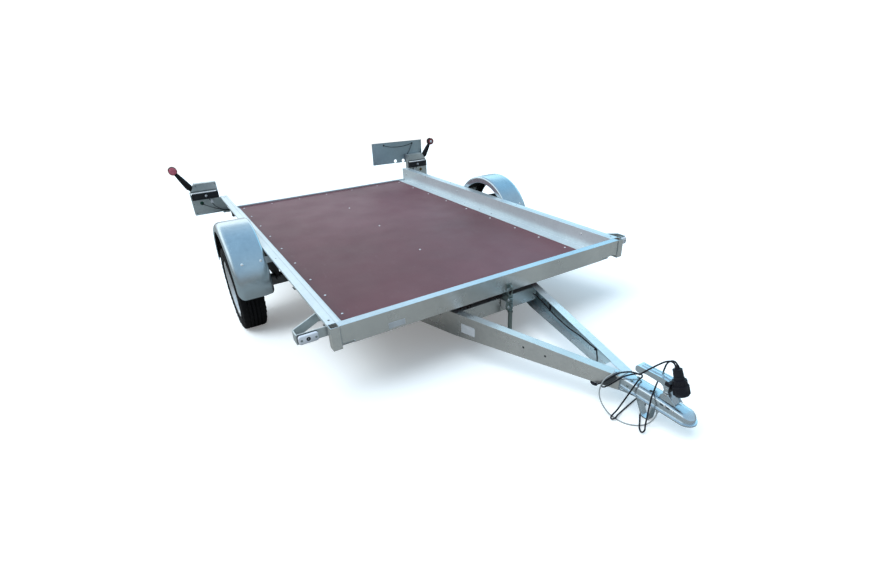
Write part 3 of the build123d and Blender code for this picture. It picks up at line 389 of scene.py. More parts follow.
# ---- piece kit: meshes made in the level frame, in millimetres -----------------------
def piece(name, bm, mat, body, smooth=30.0, bevel=0.0, world=False):
    bmesh.ops.recalc_face_normals(bm, faces=bm.faces)
    me = bpy.data.meshes.new(name)
    bm.to_mesh(me)
    bm.free()
    if not world:
        me.transform(M)
    me.materials.append(mat)
    o = bpy.data.objects.new(name, me)
    bpy.context.collection.objects.link(o)
    for f in me.polygons:
        f.use_smooth = True
    me.set_sharp_from_angle(angle=math.radians(smooth))
    if bevel:
        b = o.modifiers.new("edges", 'BEVEL')
        b.width = bevel * 0.001
        b.segments = 2
        b.limit_method = 'ANGLE'
        b.angle_limit = math.radians(35)
    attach(o, body)
    return o


def axes(n, hint=(0, 0, 1)):
    n = Vector(n).normalized()
    h = Vector(hint)
    if abs(n.dot(h.normalized())) > 0.95:
        h = Vector((0, 1, 0)) if abs(n.y) < 0.9 else Vector((1, 0, 0))
    u = h.cross(n).normalized()
    return u, n.cross(u).normalized(), n


def lathe(bm, base, way, profile, segments=16, turn=0.0, squash=1.0):
    """profile: (distance along way, radius) pairs, closed by a fan where the radius is 0."""
    u, v, n = axes(way)
    base = Vector(base)
    rings = []
    for d, r in profile:
        if r <= 1e-6:
            rings.append([bm.verts.new(base + n * d)])
        else:
            rings.append([bm.verts.new(base + n * d + (u * math.cos(turn + 2 * math.pi * i / segments)
                                                       + v * squash * math.sin(turn + 2 * math.pi * i / segments)) * r)
                          for i in range(segments)])
    for a, b in zip(rings, rings[1:]):
        if len(a) == 1 and len(b) == 1:
            continue
        for i in range(segments):
            j = (i + 1) % segments
            if len(a) == 1:
                bm.faces.new((a[0], b[i], b[j]))
            elif len(b) == 1:
                bm.faces.new((a[i], b[0], a[j]))
            else:
                bm.faces.new((a[i], b[i], b[j], a[j]))


def slab(bm, c, u, v, n, du, dv, dn):
    """Block centred on c, of full sizes du, dv and dn along u, v and n."""
    c, u, v, n = Vector(c), Vector(u), Vector(v), Vector(n)
    q = [bm.verts.new(c + u * (a * du / 2) + v * (b * dv / 2) + n * (w * dn / 2))
         for w in (-1, 1) for a, b in ((-1, -1), (1, -1), (1, 1), (-1, 1))]
    for f in ((3, 2, 1, 0), (4, 5, 6, 7), (0, 1, 5, 4), (1, 2, 6, 5), (2, 3, 7, 6), (3, 0, 4, 7)):
        bm.faces.new([q[i] for i in f])


def pan_screw(bm, base, way, r=4.2, h=2.2, turn=0.0):
    """Domed screw head with a round recess."""
    u, v, n = axes(way)
    base = Vector(base)
    lathe(bm, base, way, [(-0.2, r), (0.4, r), (h * 0.55, r * 0.86), (h * 0.85, r * 0.62), (h, r * 0.46), (h, r * 0.40),
                          (h * 0.35, r * 0.16), (h * 0.35, 0)], 12, turn)


def hex_bolt(bm, base, way, r=6.5, h=4.2, turn=0.3, washer=True):
    """Hexagon head with its chamfer on a washer."""
    d = 0.0
    if washer:
        lathe(bm, base, way, [(-0.2, r * 1.55), (1.1, r * 1.55), (1.4, r * 1.45), (1.4, r * 0.9)], 18)
        d = 1.3
    lathe(bm, base, way, [(d, r), (d + h * 0.78, r), (d + h, r * 0.84), (d + h, 0)], 6, turn)


def dome(bm, base, way, r=6.0, h=3.0):
    lathe(bm, base, way, [(-0.2, r), (h * 0.25, r * 0.97), (h * 0.6, r * 0.8), (h * 0.88, r * 0.45), (h, 0)], 16)


def tube(name, points, radius, mat, body, cyclic=False, order=3):
    """Wire or round bar along a smooth line through the level frame."""
    data = bpy.data.curves.new(name, 'CURVE')
    data.dimensions = '3D'
    data.bevel_depth = radius * 0.001
    data.bevel_resolution = 3
    data.resolution_u = 8
    data.use_fill_caps = True
    s = data.splines.new('NURBS')
    s.points.add(len(points) - 1)
    for p, q in zip(s.points, points):
        p.co = (*T(*q), 1.0)
    s.order_u = order
    s.use_endpoint_u = not cyclic
    s.use_cyclic_u = cyclic
    data.materials.append(mat)
    o = bpy.data.objects.new(name, data)
    bpy.context.collection.objects.link(o)
    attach(o, body)
    return o


X, Y, Z = (1, 0, 0), (0, 1, 0), (0, 0, 1)
random.seed(7)

# ---- bed details ---------------------------------------------------------------------------
bm = bmesh.new()
for x, ys in ((-730, (263, 506, 749, 1047, 1355, 1656, 1948, 2258, 2549)), (730, (266, 508, 754, 1047, 1364, 1669, 1971, 2258, 2549)),
              (-14, (787, 1396, 1984))):
    for y in ys:
        pan_screw(bm, (x, y, 0), Z, 6.0, 2.6, random.random())
for x in (-497, -256, -8, 238, 497):
    pan_screw(bm, (x, 2560, 0), Z, 5.0, 2.2, random.random())
piece("deck_screws", bm, BRIGHT, "bed")

bm = bmesh.new()
for x, y in ((812, 1493), (817, 1282), (818, 1123), (-812, 1493), (-817, 1282), (-818, 1123)):
    x = math.copysign(800, x)
    dome(bm, (x, y, 3), Z, 7.0, 3.4)
for s in (-1, 1):
    for y, z in ((1646, 70), (231, 78), (2560, 60)):
        dome(bm, (s * 825, y, z), (-s, 0, 0), 7.5, 3.6)
        hex_bolt(bm, (s * 828, y, z), (s, 0, 0), 7.5, 5.0)
piece("rail_bolts", bm, STEEL, "bed")

# darker strip along the top flange for its folded groove line, painted shade of the groove; and the drain hole near the
# corner
bm = bmesh.new()
for s in (-1, 1):
    slab(bm, (s * (825 + 18), 1322, 110.05), X, Y, Z, 1.6, 2636, 0.5)
piece("rail_seams", bm, GALV_DULL, "bed")
bm = bmesh.new()
for s in (-1, 1):
    lathe(bm, (s * 860, 35, 109.95), Z, [(0, 5.0), (0.35, 5.0), (0.4, 3.4), (0.15, 0)], 18)
    for y in (900, 1800, 2560):
        lathe(bm, (s * 860, y, 109.95), Z, [(0, 4.0), (0.3, 4.0), (0.35, 2.6), (0.12, 0)], 14)
piece("flange_holes", bm, HOLE_SHADE, "bed")

# angle strip that closes the joint between the front member and the deck
bm = bmesh.new()
slab(bm, (0, 3.6, 1.0), X, Y, Z, 1518, 3.0, 25.6)
slab(bm, (0, -14.0, 13.6), X, Y, Z, 1430, 34.0, 2.4)
piece("deck_front_strip", bm, GALV_DULL, "bed", bevel=0.6)

# low lip behind the deck's rear edge
bm = bmesh.new()
slab(bm, (0, 2622, 6.5), X, Y, Z, 1640, 20, 13)
piece("rear_edge_lip", bm, GALV_WALL, "bed", bevel=2.0)

# weld beads where the members meet
bm = bmesh.new()


def weld(bm, a, b, r=2.2, step=3.4):
    """Row of overlapping flat drops from a to b."""
    a, b = Vector(a), Vector(b)
    n = max(2, int((b - a).length / step))
    way = (b - a).normalized()
    for i in range(n + 1):
        c = a.lerp(b, i / n) + Vector((random.uniform(-0.25, 0.25), random.uniform(-0.25, 0.25), random.uniform(-0.25, 0.25)))
        rr = r * random.uniform(0.9, 1.1)
        lathe(bm, c - way * rr * 1.2, way, [(0, 0), (rr * 0.5, rr * 0.8), (rr * 1.2, rr), (rr * 1.9, rr * 0.8), (rr * 2.4, 0)], 8)


for s in (-1, 1):
    weld(bm, (s * 840, -42, 20), (s * 840, -42, 104), 1.8)
    weld(bm, (s * 825, -1, 4), (s * 825, -1, 106), 1.6)
    weld(bm, (s * 828, 15 + 5.8, 97), (s * 828, 15 + 5.8, 54), 1.6)
    weld(bm, (s * 690, 260, -105), (s * 690, 300, -105), 2.0)
piece("bed_welds", bm, WELD, "bed")

# pale blank plates stuck on the front member and on the near beam
bm = bmesh.new()
slab(bm, (-585.5, -40.25, 38), X, Z, Y, 81, 28, 0.5)
slab(bm, (-597, -40.6, 41), X, Z, Y, 50, 14, 0.4)
piece("front_blank_label", bm, PALE, "bed", bevel=0.2)
k = 0.295
u_beam = Vector((k, 1, 0)).normalized()
n_beam = Vector((-1, k, 0)).normalized()


def on_beam(s, y, z, out=0.0):
    """Point on the outer face of a drawbar beam."""
    p = Vector((s * (271.5 + k * y), y, z))
    return p + Vector((s, -k, 0)).normalized() * out


bm = bmesh.new()
ub, nb = Vector((-k, 1, 0)).normalized(), Vector((-1, -k, 0)).normalized()
slab(bm, on_beam(-1, -89, -92, 0.25), ub, Z, nb, 84, 48, 0.5)
slab(bm, on_beam(-1, -84, -92, 0.7), ub, Z, nb, 58, 24, 0.4)
piece("beam_blank_label", bm, PALE, "drawbar", bevel=0.2)

# dark discs for the holes in the beams: painted shade
bm = bmesh.new()
for s in (-1, 1):
    for y, z in ((-389, -64), (-494, -65)):
        w = Vector((s, -k, 0)).normalized()
        lathe(bm, on_beam(s, y, z, -0.1), w, [(0, 5.2), (0.35, 5.2), (0.4, 3.8), (0.1, 0)], 18)
piece("beam_holes", bm, HOLE_SHADE, "drawbar")

# ---- mudguards: bolts, bead along the edges -----------------------------------------------------
bm = bmesh.new()
for s in (-1, 1):
    for a in (33.0, 147.0):
        for x in (916, 1020):
            ang = math.radians(a)
            w = (0, math.cos(ang), math.sin(ang))
            p = (s * x, AXLE_Y + 370 * w[1], -142 + 370 * w[2])
            dome(bm, p, w, 8.0, 4.0)
            q = (s * x, AXLE_Y + 362.4 * w[1], -142 + 362.4 * w[2])
            hex_bolt(bm, q, (0, -w[1], -w[2]), 6.5, 4.0)
piece("mudguard_bolts", bm, BRIGHT, "bed")


def guard_section(x0, x1, r, sh, hi, g):
    """Outer and inner points across the guard, from the inner skirt's edge to the outer skirt's edge."""
    out, inn = [], []
    for q in (324.0, 335.0, 345.0):
        out.append((x0, q))
        inn.append((x0 + g, q))
    for i in range(9):
        a = math.radians(90 * i / 8)
        out.append((x0 + hi - hi * math.cos(a), r - hi + hi * math.sin(a)))
        inn.append((x0 + hi - (hi - g) * math.cos(a), r - hi + (hi - g) * math.sin(a)))
    for f in (0.25, 0.5, 0.75):
        out.append((x0 + hi + (x1 - sh - x0 - hi) * f, r))
        inn.append((x0 + hi + (x1 - sh - x0 - hi) * f, r - g))
    for i in range(13):
        a = math.radians(90 - 90 * i / 12)
        out.append((x1 - sh + sh * math.cos(a), r - sh + sh * math.sin(a)))
        inn.append((x1 - sh + (sh - g) * math.cos(a), r - sh + (sh - g) * math.sin(a)))
    out.append((x1, r - sh - 14))
    inn.append((x1 - g, r - sh - 14))
    return out, inn


for side, s in (("right", -1), ("left", 1)):
    x0, x1, r, g = 884.0, 1082.0, 370.0, 2.5
    out, inn = guard_section(x0, x1, r, 36.0, 16.0, g)
    bm = bmesh.new()
    grids = []
    for section in (out, inn):
        rows = []
        for x, q in section:
            over = max(0.0, x - (x1 - 34), (x0 + 34) - x)
            end = 179.0 - math.degrees((34.0 - math.sqrt(max(0.0, 34.0 ** 2 - min(34.0, over) ** 2))) / q)
            row = []
            for i in range(97):
                a = math.radians(7.5 + (end - 7.5) * i / 96)
                row.append(bm.verts.new((s * x, AXLE_Y + q * math.cos(a), -142 + q * math.sin(a))))
            rows.append(row)
        grids.append(rows)
    for n_grid, rows in enumerate(grids):
        for a, b in zip(rows, rows[1:]):
            for i in range(96):
                f = bm.faces.new((a[i], a[i + 1], b[i + 1], b[i]))
                f.material_index = n_grid
    for e in (0, -1):
        for i in range(96):
            bm.faces.new((grids[0][e][i], grids[0][e][i + 1], grids[1][e][i + 1], grids[1][e][i]))
    for e in (0, 96):
        for j in range(len(out) - 1):
            bm.faces.new((grids[0][j][e], grids[0][j + 1][e], grids[1][j + 1][e], grids[1][j][e]))
    o = piece("mudguard_skin_" + side, bm, GALV_SHEET, "bed", smooth=50)
    # the guard's inner faces take a near-black colour
    o.data.materials.append(GUARD_INNER_DARK)
    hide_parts("mudguard_" + side)


def bead(bm, s, x, r, a0, a1, rad=2.3, steps=72, seg=8, mapped=None):
    """Rolled wire edge along the mudguard's side."""
    rings = []
    for i in range(steps + 1):
        a = math.radians(a0 + (a1 - a0) * i / steps)
        e, t = Vector((0, math.cos(a), math.sin(a))), Vector((1, 0, 0))
        c = Vector((s * x, AXLE_Y, -142)) + e * r
        rings.append([bm.verts.new(c + (e * math.cos(2 * math.pi * j / seg) + t * math.sin(2 * math.pi * j / seg)) * rad) for j in range(seg)])
    for p, q in zip(rings, rings[1:]):
        for j in range(seg):
            bm.faces.new((p[j], q[j], q[(j + 1) % seg], p[(j + 1) % seg]))
    bm.faces.new(rings[0])
    bm.faces.new(list(reversed(rings[-1])))


bm = bmesh.new()
for s in (-1, 1):
    bead(bm, s, 1079.2, 370 - 36 - 14, 8.5, 171.0)
    bead(bm, s, 886.6, 370 - 46, 8.5, 172.0, 2.0)
piece("mudguard_edges", bm, GALV_SHEET, "bed")

# ---- front marker lamps ----------------------------------------------------------------------------
for side, s, x0, x1 in (("right", -1, 917.0, 1003.0), ("left", 1, 882.0, 963.0)):
    cx, w = s * (x0 + x1) / 2, x1 - x0
    body_lens, rubber_base, dots, screws = bmesh.new(), bmesh.new(), bmesh.new(), bmesh.new()

    def rounded(bm, cx, cz, w, h, r, y0, y1, top, taper=2.0, seg=6):
        """Rounded block standing on the plane y0, towards the front, its front edge drawn in by taper."""
        rings = []
        for y, d in ((y0, 0.0), (y1 + top, 0.0), (y1 + top * 0.4, taper * 0.35), (y1, taper)):
            ring = []
            for qx, qz, a in ((1, 1, 0), (-1, 1, 90), (-1, -1, 180), (1, -1, 270)):
                for i in range(seg + 1):
                    t = math.radians(a + 90 * i / seg)
                    ring.append(bm.verts.new((cx + qx * (w / 2 - r) + (r - d) * math.cos(t), y, cz + qz * (h / 2 - r) + (r - d) * math.sin(t))))
            rings.append(ring)
        for a, b in zip(rings, rings[1:]):
            for i in range(len(a)):
                j = (i + 1) % len(a)
                bm.faces.new((a[i], b[i], b[j], a[j]))
        bm.faces.new(rings[0])
        bm.faces.new(list(reversed(rings[-1])))

    rounded(body_lens, cx, 74, w - 3, 40, 10, 13.5, -2.8, 5, 4)
    rounded(rubber_base, cx, 74, w, 44, 12, 15, 9, 2, 1)
    lathe(dots, (cx - 2, -2.6, 75), (0, -1, 0), [(0, 9.0), (0.4, 9.0), (0.5, 6.5), (0.1, 0)], 24)
    for dx in (-1, 1):
        pan_screw(screws, (cx + dx * (w / 2 - 13), -2.4, 74), (0, -1, 0), 5.0, 1.6)
    o = piece("marker_lens_" + side, body_lens, CLEAR, "bed", smooth=40)
    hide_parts("front_marker_lamps")
    piece("marker_seal_" + side, rubber_base, BLACK, "bed", smooth=40)
    # dark dot in the lens: painted shade in its recess
    piece("marker_dot_" + side, dots, HOLE_SHADE, "bed")
    piece("marker_screws_" + side, screws, ZINC_DARK, "bed")

# ---- rear lamp carriers --------------------------------------------------------------------------------
for side, s, grommet in (("right", -1, GREEN), ("left", 1, AMBER)):
    yf = 2632.0
    # black lamp housing seen in the carrier's window, its round plug and pale connector
    bm = bmesh.new()
    slab(bm, (s * 986, yf - 12, 137), X, Z, Y, 196, 52, 22)
    slab(bm, (s * 986, yf - 21.2, 137), X, Z, Y, 150, 34, 3.2)
    for z in (122, 152):
        slab(bm, (s * 986, yf - 23.5, z), X, Z, Y, 186, 2.5, 1.6)
    piece("lamp_housing_" + side, bm, BLACK, "bed", bevel=2.0)
    bm = bmesh.new()
    lathe(bm, (s * 983, yf - 22.6, 137), (0, -1, 0), [(0, 9.5), (3.4, 9.0), (4.0, 8.0), (4.0, 5.0), (1.2, 4.4), (1.2, 0)], 22)
    piece("lamp_entry_" + side, bm, WHITE, "bed")
    bm = bmesh.new()
    lathe(bm, (s * 1025, yf, 78), (0, -1, 0), [(-0.2, 14.5), (2.0, 14.5), (3.4, 12.5), (3.4, 8.5), (6.5, 6.5), (6.5, 0)], 24)
    piece("grommet_" + side, bm, grommet, "bed")
    bm = bmesh.new()
    slab(bm, (s * 950, yf - 9, 84), X, Z, Y, 20, 24, 16)
    slab(bm, (s * 950, yf - 12, 99), X, Z, Y, 14, 7, 9)
    for dx in (-5, 0, 5):
        slab(bm, (s * 950 + dx, yf - 17.6, 84), X, Z, Y, 1.2, 18, 1.2)
    piece("connector_" + side, bm, WHITE, "bed", bevel=1.0)
    # wires from the plug and the grommet down to the frame
    tube("wire_a_" + side, [(s * 983, yf - 25, 137), (s * 976, yf - 31, 128), (s * 966, yf - 28, 112), (s * 962, yf - 17, 96), (s * 956, yf - 12, 88)],
         2.2, CABLE_BLACK, "bed")
    tube("wire_b_" + side, [(s * 1025, yf - 6, 78), (s * 1018, yf - 20, 72), (s * 992, yf - 22, 55), (s * 956, yf - 20, 36), (s * 915, yf - 22, 16),
                            (s * 884, yf - 30, 4), (s * 850, yf - 34, -2), (s * 836, yf - 46, 2)], 2.4, CABLE_BLACK, "bed")
    tube("wire_c_" + side, [(s * 950, yf - 12, 73), (s * 946, yf - 18, 60), (s * 930, yf - 22, 40), (s * 905, yf - 24, 18), (s * 880, yf - 32, 8),
                            (s * 856, yf - 38, 4), (s * 838, yf - 52, 8)], 2.4, CABLE_BLACK, "bed")
    # bolts through the foot, rivets and the folded edge of the plate
    bm = bmesh.new()
    for x, y in ((846, yf - 40), (872, yf - 30)):
        hex_bolt(bm, (s * x, y, -8), Z, 7.0, 5.0)
        hex_bolt(bm, (s * x, y, -12), (0, 0, -1), 7.0, 5.0)
    for z in (12, 30):
        hex_bolt(bm, (s * 832, yf - 30, z), (s, 0, 0), 6.0, 4.0)
    for x, z in ((1082, 78), (898, 222), (898, 2), (1076, 4), (1040, 218)):
        lathe(bm, (s * x, yf, z), (0, -1, 0), [(-0.2, 5.0), (0.8, 5.0), (1.6, 3.5), (1.6, 1.8), (0.6, 1.4), (0.6, 0)], 14)
    piece("carrier_bolts_" + side, bm, ZINC_DARK, "bed")
    bm = bmesh.new()
    tab = [(892, 114), (875, 95), (858, 56), (843, 14), (836, 0), (840, -14), (866, -17), (892, -12)]
    a = [bm.verts.new((s * x, yf - 1.8, z)) for x, z in tab]
    b = [bm.verts.new((s * x, yf, z)) for x, z in tab]
    bm.faces.new(a)
    bm.faces.new(list(reversed(b)))
    for i in range(len(tab)):
        q = (i + 1) % len(tab)
        bm.faces.new((a[i], b[i], b[q], a[q]))
    slab(bm, (s * 940, yf - 5, -1.0), X, Y, Z, 98, 10, 1.6)
    piece("carrier_tab_" + side, bm, GALV_BOX, "bed")
    # dark line across the carrier's face: painted shade
    bm = bmesh.new()
    slab(bm, (s * 990, yf - 0.5, 176), X, Z, Y, 190, 3.5, 1.4)
    piece("carrier_slot_" + side, bm, HOLE_SHADE, "bed")
    # white strip along the top of the window: painted highlight on the hem edge
    bm = bmesh.new()
    slab(bm, (s * 994, yf - 22.5, 166), X, Z, Y, 168, 6, 3)
    piece("carrier_strip_" + side, bm, WHITE, "bed", bevel=1.0)
    # rear face: round-cornered lens block in three colours
    yb = yf + 56 + 0.2
    for tag, mat, xa, xb in (("indicator", AMBER_LENS, 1086, 1026), ("tail", RED, 1024, 956), ("reverse", CLEAR, 954, 894)):
        bm = bmesh.new()
        slab(bm, (s * (xa + xb) / 2, 2680.8, 72), X, Z, Y, xa - xb - 1.5, 138, 10)
        for i in range(9):
            slab(bm, (s * (xa + xb) / 2, 2686.2, 12 + i * 15), X, Z, Y, (xa - xb) * 0.86, 9, 1.4)
        piece(tag + "_lens_" + side, bm, mat, "bed", bevel=1.2)
    bm = bmesh.new()
    for x in (1055, 925):
        pan_screw(bm, (s * x, 2685.6, 136.5), Y, 4.2, 1.4)
        pan_screw(bm, (s * x, 2685.6, 7.5), Y, 4.2, 1.4)
    piece("lens_screws_" + side, bm, STEEL, "bed")
    bm = bmesh.new()
    slab(bm, (s * 990, 2622.3, 136), X, Z, Y, 181, 48, 24.4)
    slab(bm, (s * 990, 2655.6, 72), X, Z, Y, 197, 147, 42)
    o = piece("lamp_case_" + side, bm, BLACK, "bed", bevel=6.0)
    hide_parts("rear_lamps")

# rubber-arm lamps: two-part head, ring and lenses
for side, s, zh, front_mat, rear_mat in (("right", -1, 352.0, PINK, RED), ("left", 1, 333.0, CLEAR, RED)):
    yc = 2658.0
    h = Vector((s * 1166, yc, zh))
    bm = bmesh.new()
    lathe(bm, h + Vector((0, -15.5, 0)), (0, 1, 0), [(0, 24.5), (0, 30), (2.5, 31), (28.5, 31), (31, 30), (31, 24.5)], 36)
    for d in (6, 15.5, 25):
        lathe(bm, h + Vector((0, -15.5 + d - 1, 0)), (0, 1, 0), [(0, 30.8), (0.4, 31.0), (1.6, 31.0), (2, 30.8)], 36)
    piece("arm_lamp_ring_" + side, bm, SOFT_BLACK, "bed", smooth=40)
    for tag, d, mat in (("front", -1, front_mat), ("rear", 1, rear_mat)):
        bm = bmesh.new()
        q = 0.5 if mat is CLEAR else 1.0
        lathe(bm, h + Vector((0, 16.8 * d, 0)), (0, d, 0), [(0, 27.5 * q), (0.8, 27.5 * q), (2.0, 25.5 * q), (3.2, 20 * q), (3.9, 10 * q), (4.1, 0)], 32)
        if q < 1.0:
            rim = bmesh.new()
            lathe(rim, h + Vector((0, 16.8 * d, 0)), (0, d, 0), [(0, 27.5), (0.8, 27.5), (1.8, 25.5), (2.2, 15), (0.4, 14.5)], 32)
            piece("arm_lamp_rim_" + side, rim, DEEP_RED, "bed", smooth=60)
        piece("arm_lamp_" + tag + "_" + side, bm, mat, "bed", smooth=60)
    # ribbed boot at the arm's foot
    m0 = Vector((s * (1094 - 23), yc, 235 - 37.5))
    n0 = Vector((s * 75, 0, 46)).normalized()
    bm = bmesh.new()
    for d, r in ((1.5, 22.5), (6, 21.8), (10.5, 21.2)):
        lathe(bm, m0 + n0 * d, n0, [(0, r - 1.8), (0.8, r), (2.2, r), (3, r - 1.8)], 28)
    piece("arm_lamp_boot_" + side, bm, SOFT_BLACK, "bed")
    bm = bmesh.new()
    foot = m0 + n0 * 12
    run = (h - foot).length - 26
    lathe(bm, foot, h - foot, [(-4, 20), (4, 25), (14, 25.5), (run * 0.35, 23), (run * 0.6, 20), (run * 0.85, 16), (run, 13.5), (run + 3, 10)], 24)
    piece("arm_lamp_sleeve_" + side, bm, SOFT_BLACK, "bed", smooth=50)

# wire that hangs behind the plate board's edge, in its clips
py = 2685.2
tube("board_wire", [(663, py, 341), (684, py, 333), (712, py - 2, 324), (748, py - 3, 317), (784, py - 3, 314), (816, py - 3, 313), (856, py - 3, 314), (898, py - 3, 318), (940, py - 2, 325), (972, py, 333)],
     2.2, CABLE_BLACK, "bed")
tube("board_wire_down", [(972, py - 0.5, 331), (962, py - 3, 312), (948, py - 3, 288), (934, py - 3, 264), (920, py - 3, 246), (911, py - 3, 234), (904, py - 5, 214)],
     2.0, CABLE_BLACK, "bed")
bm = bmesh.new()
for x, z in ((663, 341), (972, 333)):
    lathe(bm, (x, 2689.2, z), (0, -1, 0), [(0, 8), (2.5, 8), (4.5, 5.5), (6, 3), (6, 0)], 18)
piece("board_clips", bm, BLACK, "bed")
bm = bmesh.new()
for x, z in ((560, 352), (1060, 340), (565, 190), (912, 222), (1020, 219)):
    lathe(bm, (x, 2689.1, z), (0, -1, 0), [(0, 4.2), (0.6, 4.2), (1.3, 2.8), (1.3, 0)], 14)
    lathe(bm, (x, 2691.9, z), (0, 1, 0), [(0, 4.2), (0.6, 4.2), (1.3, 2.8), (1.3, 0)], 14)
piece("board_rivets", bm, ZINC_DARK, "bed")

# ---- wheels: tread, sidewall rings, rim holes, bolts, valve ---------------------------------------------
ZC = AXLE_Z
for side, s in (("right", -1), ("left", 1)):
    x1, x0, r = 1083.0, 933.0, 268.0
    body = "wheel_" + side
    # tread and sidewalls as one closed ring with real grooves
    prof = [(x0 + 17, 167.4), (x0 + 16.6, 180), (x0 + 12, 185), (x0 + 6, 189), (x0 + 3.2, 196), (x0 + 1.2, 205), (x0 + 0.2, 214), (x0 + 0.2, 222),
            (x0 + 1.4, 228), (x0 + 0.9, 229.5), (x0 + 0.9, 233), (x0 + 1.7, 234.5), (x0 + 3.6, 245), (x0 + 5.6, 252)]
    right_half = [(x0 + x1 - a, b) for a, b in reversed(prof)]
    grooves = []
    for gx in (-33, -11, 11, 33):
        c = (x0 + x1) / 2 + gx
        grooves += [(c - 3.6, 0), (c - 2.6, -7.0), (c + 2.6, -7.0), (c + 3.6, 0)]

    def crown(x):
        t = abs(x - (x0 + x1) / 2) / 75.0
        return r - 0.15 - 1.6 * t ** 2 - 12.5 * max(0.0, t - 0.72) ** 1.6 / 0.28 ** 1.6

    top = []
    xs = sorted([(g, d) for g, d in grooves] + [(x0 + q, 0) for q in (9, 13, 18, 24, 32, 52, 64)] + [(x1 - q, 0) for q in (9, 13, 18, 24, 32, 52, 64)] + [((x0 + x1) / 2, 0)])
    for xx, d in xs:
        top.append((xx, crown(xx) + d))
    ring = prof + top + right_half
    seg = 144
    bm = bmesh.new()
    cols = []
    for i in range(seg):
        a = 2 * math.pi * i / seg
        col = []
        for xx, rr in ring:
            t = (xx - (x0 + x1) / 2) / 75.0
            # shoulder blocks: every other step sits lower on the outer ribs
            low = 4.2 if (abs(t) > 0.52 and rr > 248 and (i % 4 == 0)) else 0.0
            if 0.18 < abs(t) < 0.42 and rr > 262 and (i + (2 if t > 0 else 0)) % 6 == 0:
                low = 3.2
            skew = 0.012 * math.sin(t * 4.0) if rr > 248 else 0.0
            q = a + skew
            col.append(bm.verts.new((s * xx, AXLE_Y + (rr - low) * math.cos(q), ZC + (rr - low) * math.sin(q))))
        cols.append(col)
    for i in range(seg):
        a, b = cols[i], cols[(i + 1) % seg]
        for j in range(len(ring) - 1):
            bm.faces.new((a[j], a[j + 1], b[j + 1], b[j]))
        bm.faces.new((a[-1], a[0], b[0], b[-1]))
    o = piece("tyre_tread_" + side, bm, TYRE, body, smooth=28)
    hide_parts("tyre_" + side)

    # raised blank ring of dashes on the sidewalls
    bm = bmesh.new()
    for face in (-1, 1):
        xw = x1 - 1.4 if face > 0 else x0 + 1.4
        for i in range(40):
            if i % 10 in (4, 9):
                continue
            a = 2 * math.pi * i / 40
            e, t = Vector((0, math.cos(a), math.sin(a))), Vector((0, -math.sin(a), math.cos(a)))
            slab(bm, Vector((s * xw, AXLE_Y, ZC)) + e * 238.5, t, e, X, 20, 2.2, 2.2)
    piece("sidewall_bars_" + side, bm, TYRE, body, bevel=0.3)

    # dark openings (painted shade inside them) and studs on the disc, cap, valve
    bm = bmesh.new()
    for i in range(12):
        a = 2 * math.pi * (i + 0.5) / 12
        c = (s * (x1 - 56.0 - 0.2), AXLE_Y + 118 * math.cos(a), ZC + 118 * math.sin(a))
        lathe(bm, c, (s, 0, 0), [(-0.2, 11.5), (0.9, 11.5), (1.6, 10.2), (0.2, 9.0), (0.0, 0)], 20)
    piece("rim_openings_" + side, bm, HOLE_SHADE, body)
    bm = bmesh.new()
    for i in range(4):
        a = 2 * math.pi * (i + 0.25) / 4
        c = (s * (x1 - 62.0), AXLE_Y + 49 * math.cos(a), ZC + 49 * math.sin(a))
        lathe(bm, c, (s, 0, 0), [(-0.2, 11.0), (2.0, 11.0), (3.0, 9.6)], 20)
        hex_bolt(bm, (c[0] + s * 2.5, c[1], c[2]), (s, 0, 0), 9.5, 12.0, 0.4, False)
    piece("wheel_bolts_" + side, bm, STEEL, body)
    bm = bmesh.new()
    a = math.radians(205)
    c = Vector((s * (x1 - 40), AXLE_Y + 148 * math.cos(a), ZC + 148 * math.sin(a)))
    lathe(bm, c - Vector((s * 12, 0, 0)), (s, 0, 0), [(0, 5.5), (5, 5.5), (8, 4.0), (20, 3.6), (21, 4.2), (27, 4.2), (28, 3.2), (28, 0)], 14)
    piece("valve_" + side, bm, BLACK, body)
    bm = bmesh.new()
    lathe(bm, (s * (x1 - 30), AXLE_Y, ZC), (s, 0, 0), [(0, 31.2), (1.0, 31.6), (2.0, 31.2)], 32)
    lathe(bm, (s * (x1 - 24), AXLE_Y, ZC), (s, 0, 0), [(0, 20), (0.6, 20), (0.9, 19), (0.3, 17), (0.2, 0)], 32)
    piece("hub_cap_" + side, bm, CAP, body)

# dark sheets between the side rails and the wheels, standing in for the shade under the bed: painted shade
bm = bmesh.new()
for s in (-1, 1):
    slab(bm, (s * 831.5, 1455, -61), Y, Z, X, 610, 120, 3.0)
    slab(bm, (s * 831.5, 1095, -31), Y, Z, X, 110, 60, 3.0)
    slab(bm, (s * 831.5, 1126, -76), Y, Z, X, 47, 29, 3.0)
piece("wheel_well_panels", bm, SOFT_BLACK, "bed", bevel=1.0)

# axle: bolts of the pads, arm end caps
bm = bmesh.new()
for s in (-1, 1):
    for y in (1160, 1265):
        hex_bolt(bm, (s * 710, y, -106), (0, 0, -1), 8.0, 6.0)
    lathe(bm, (s * 906 - s * 2, 1222, -137), (s, 0, 0), [(0, 30), (2.0, 28), (4.5, 27), (4.5, 0)], 6, 0.3)
piece("axle_bolts", bm, ZINC_DARK, "bed")

# ---- drawbar details ---------------------------------------------------------------------------------------
bm = bmesh.new()
for s in (-1, 1):
    weld(bm, on_beam(s, -712, -30) + Vector((-s * 6, 0, 3.5)), on_beam(s, -800, -28) + Vector((-s * 4, 0, 1.5)), 1.8)
    weld(bm, (s * (271.5 - k * 10 - 21), -6, -30), (s * (271.5 - k * 10 - 21), -6, -100), 2.0)
weld(bm, (-30, -803, -25), (30, -803, -25), 2.0)
for s in (-1, 1):
    weld(bm, (s * 31.5, -805, -30), (s * 31.5, -805, -80), 1.8)
piece("drawbar_welds", bm, WELD, "drawbar")

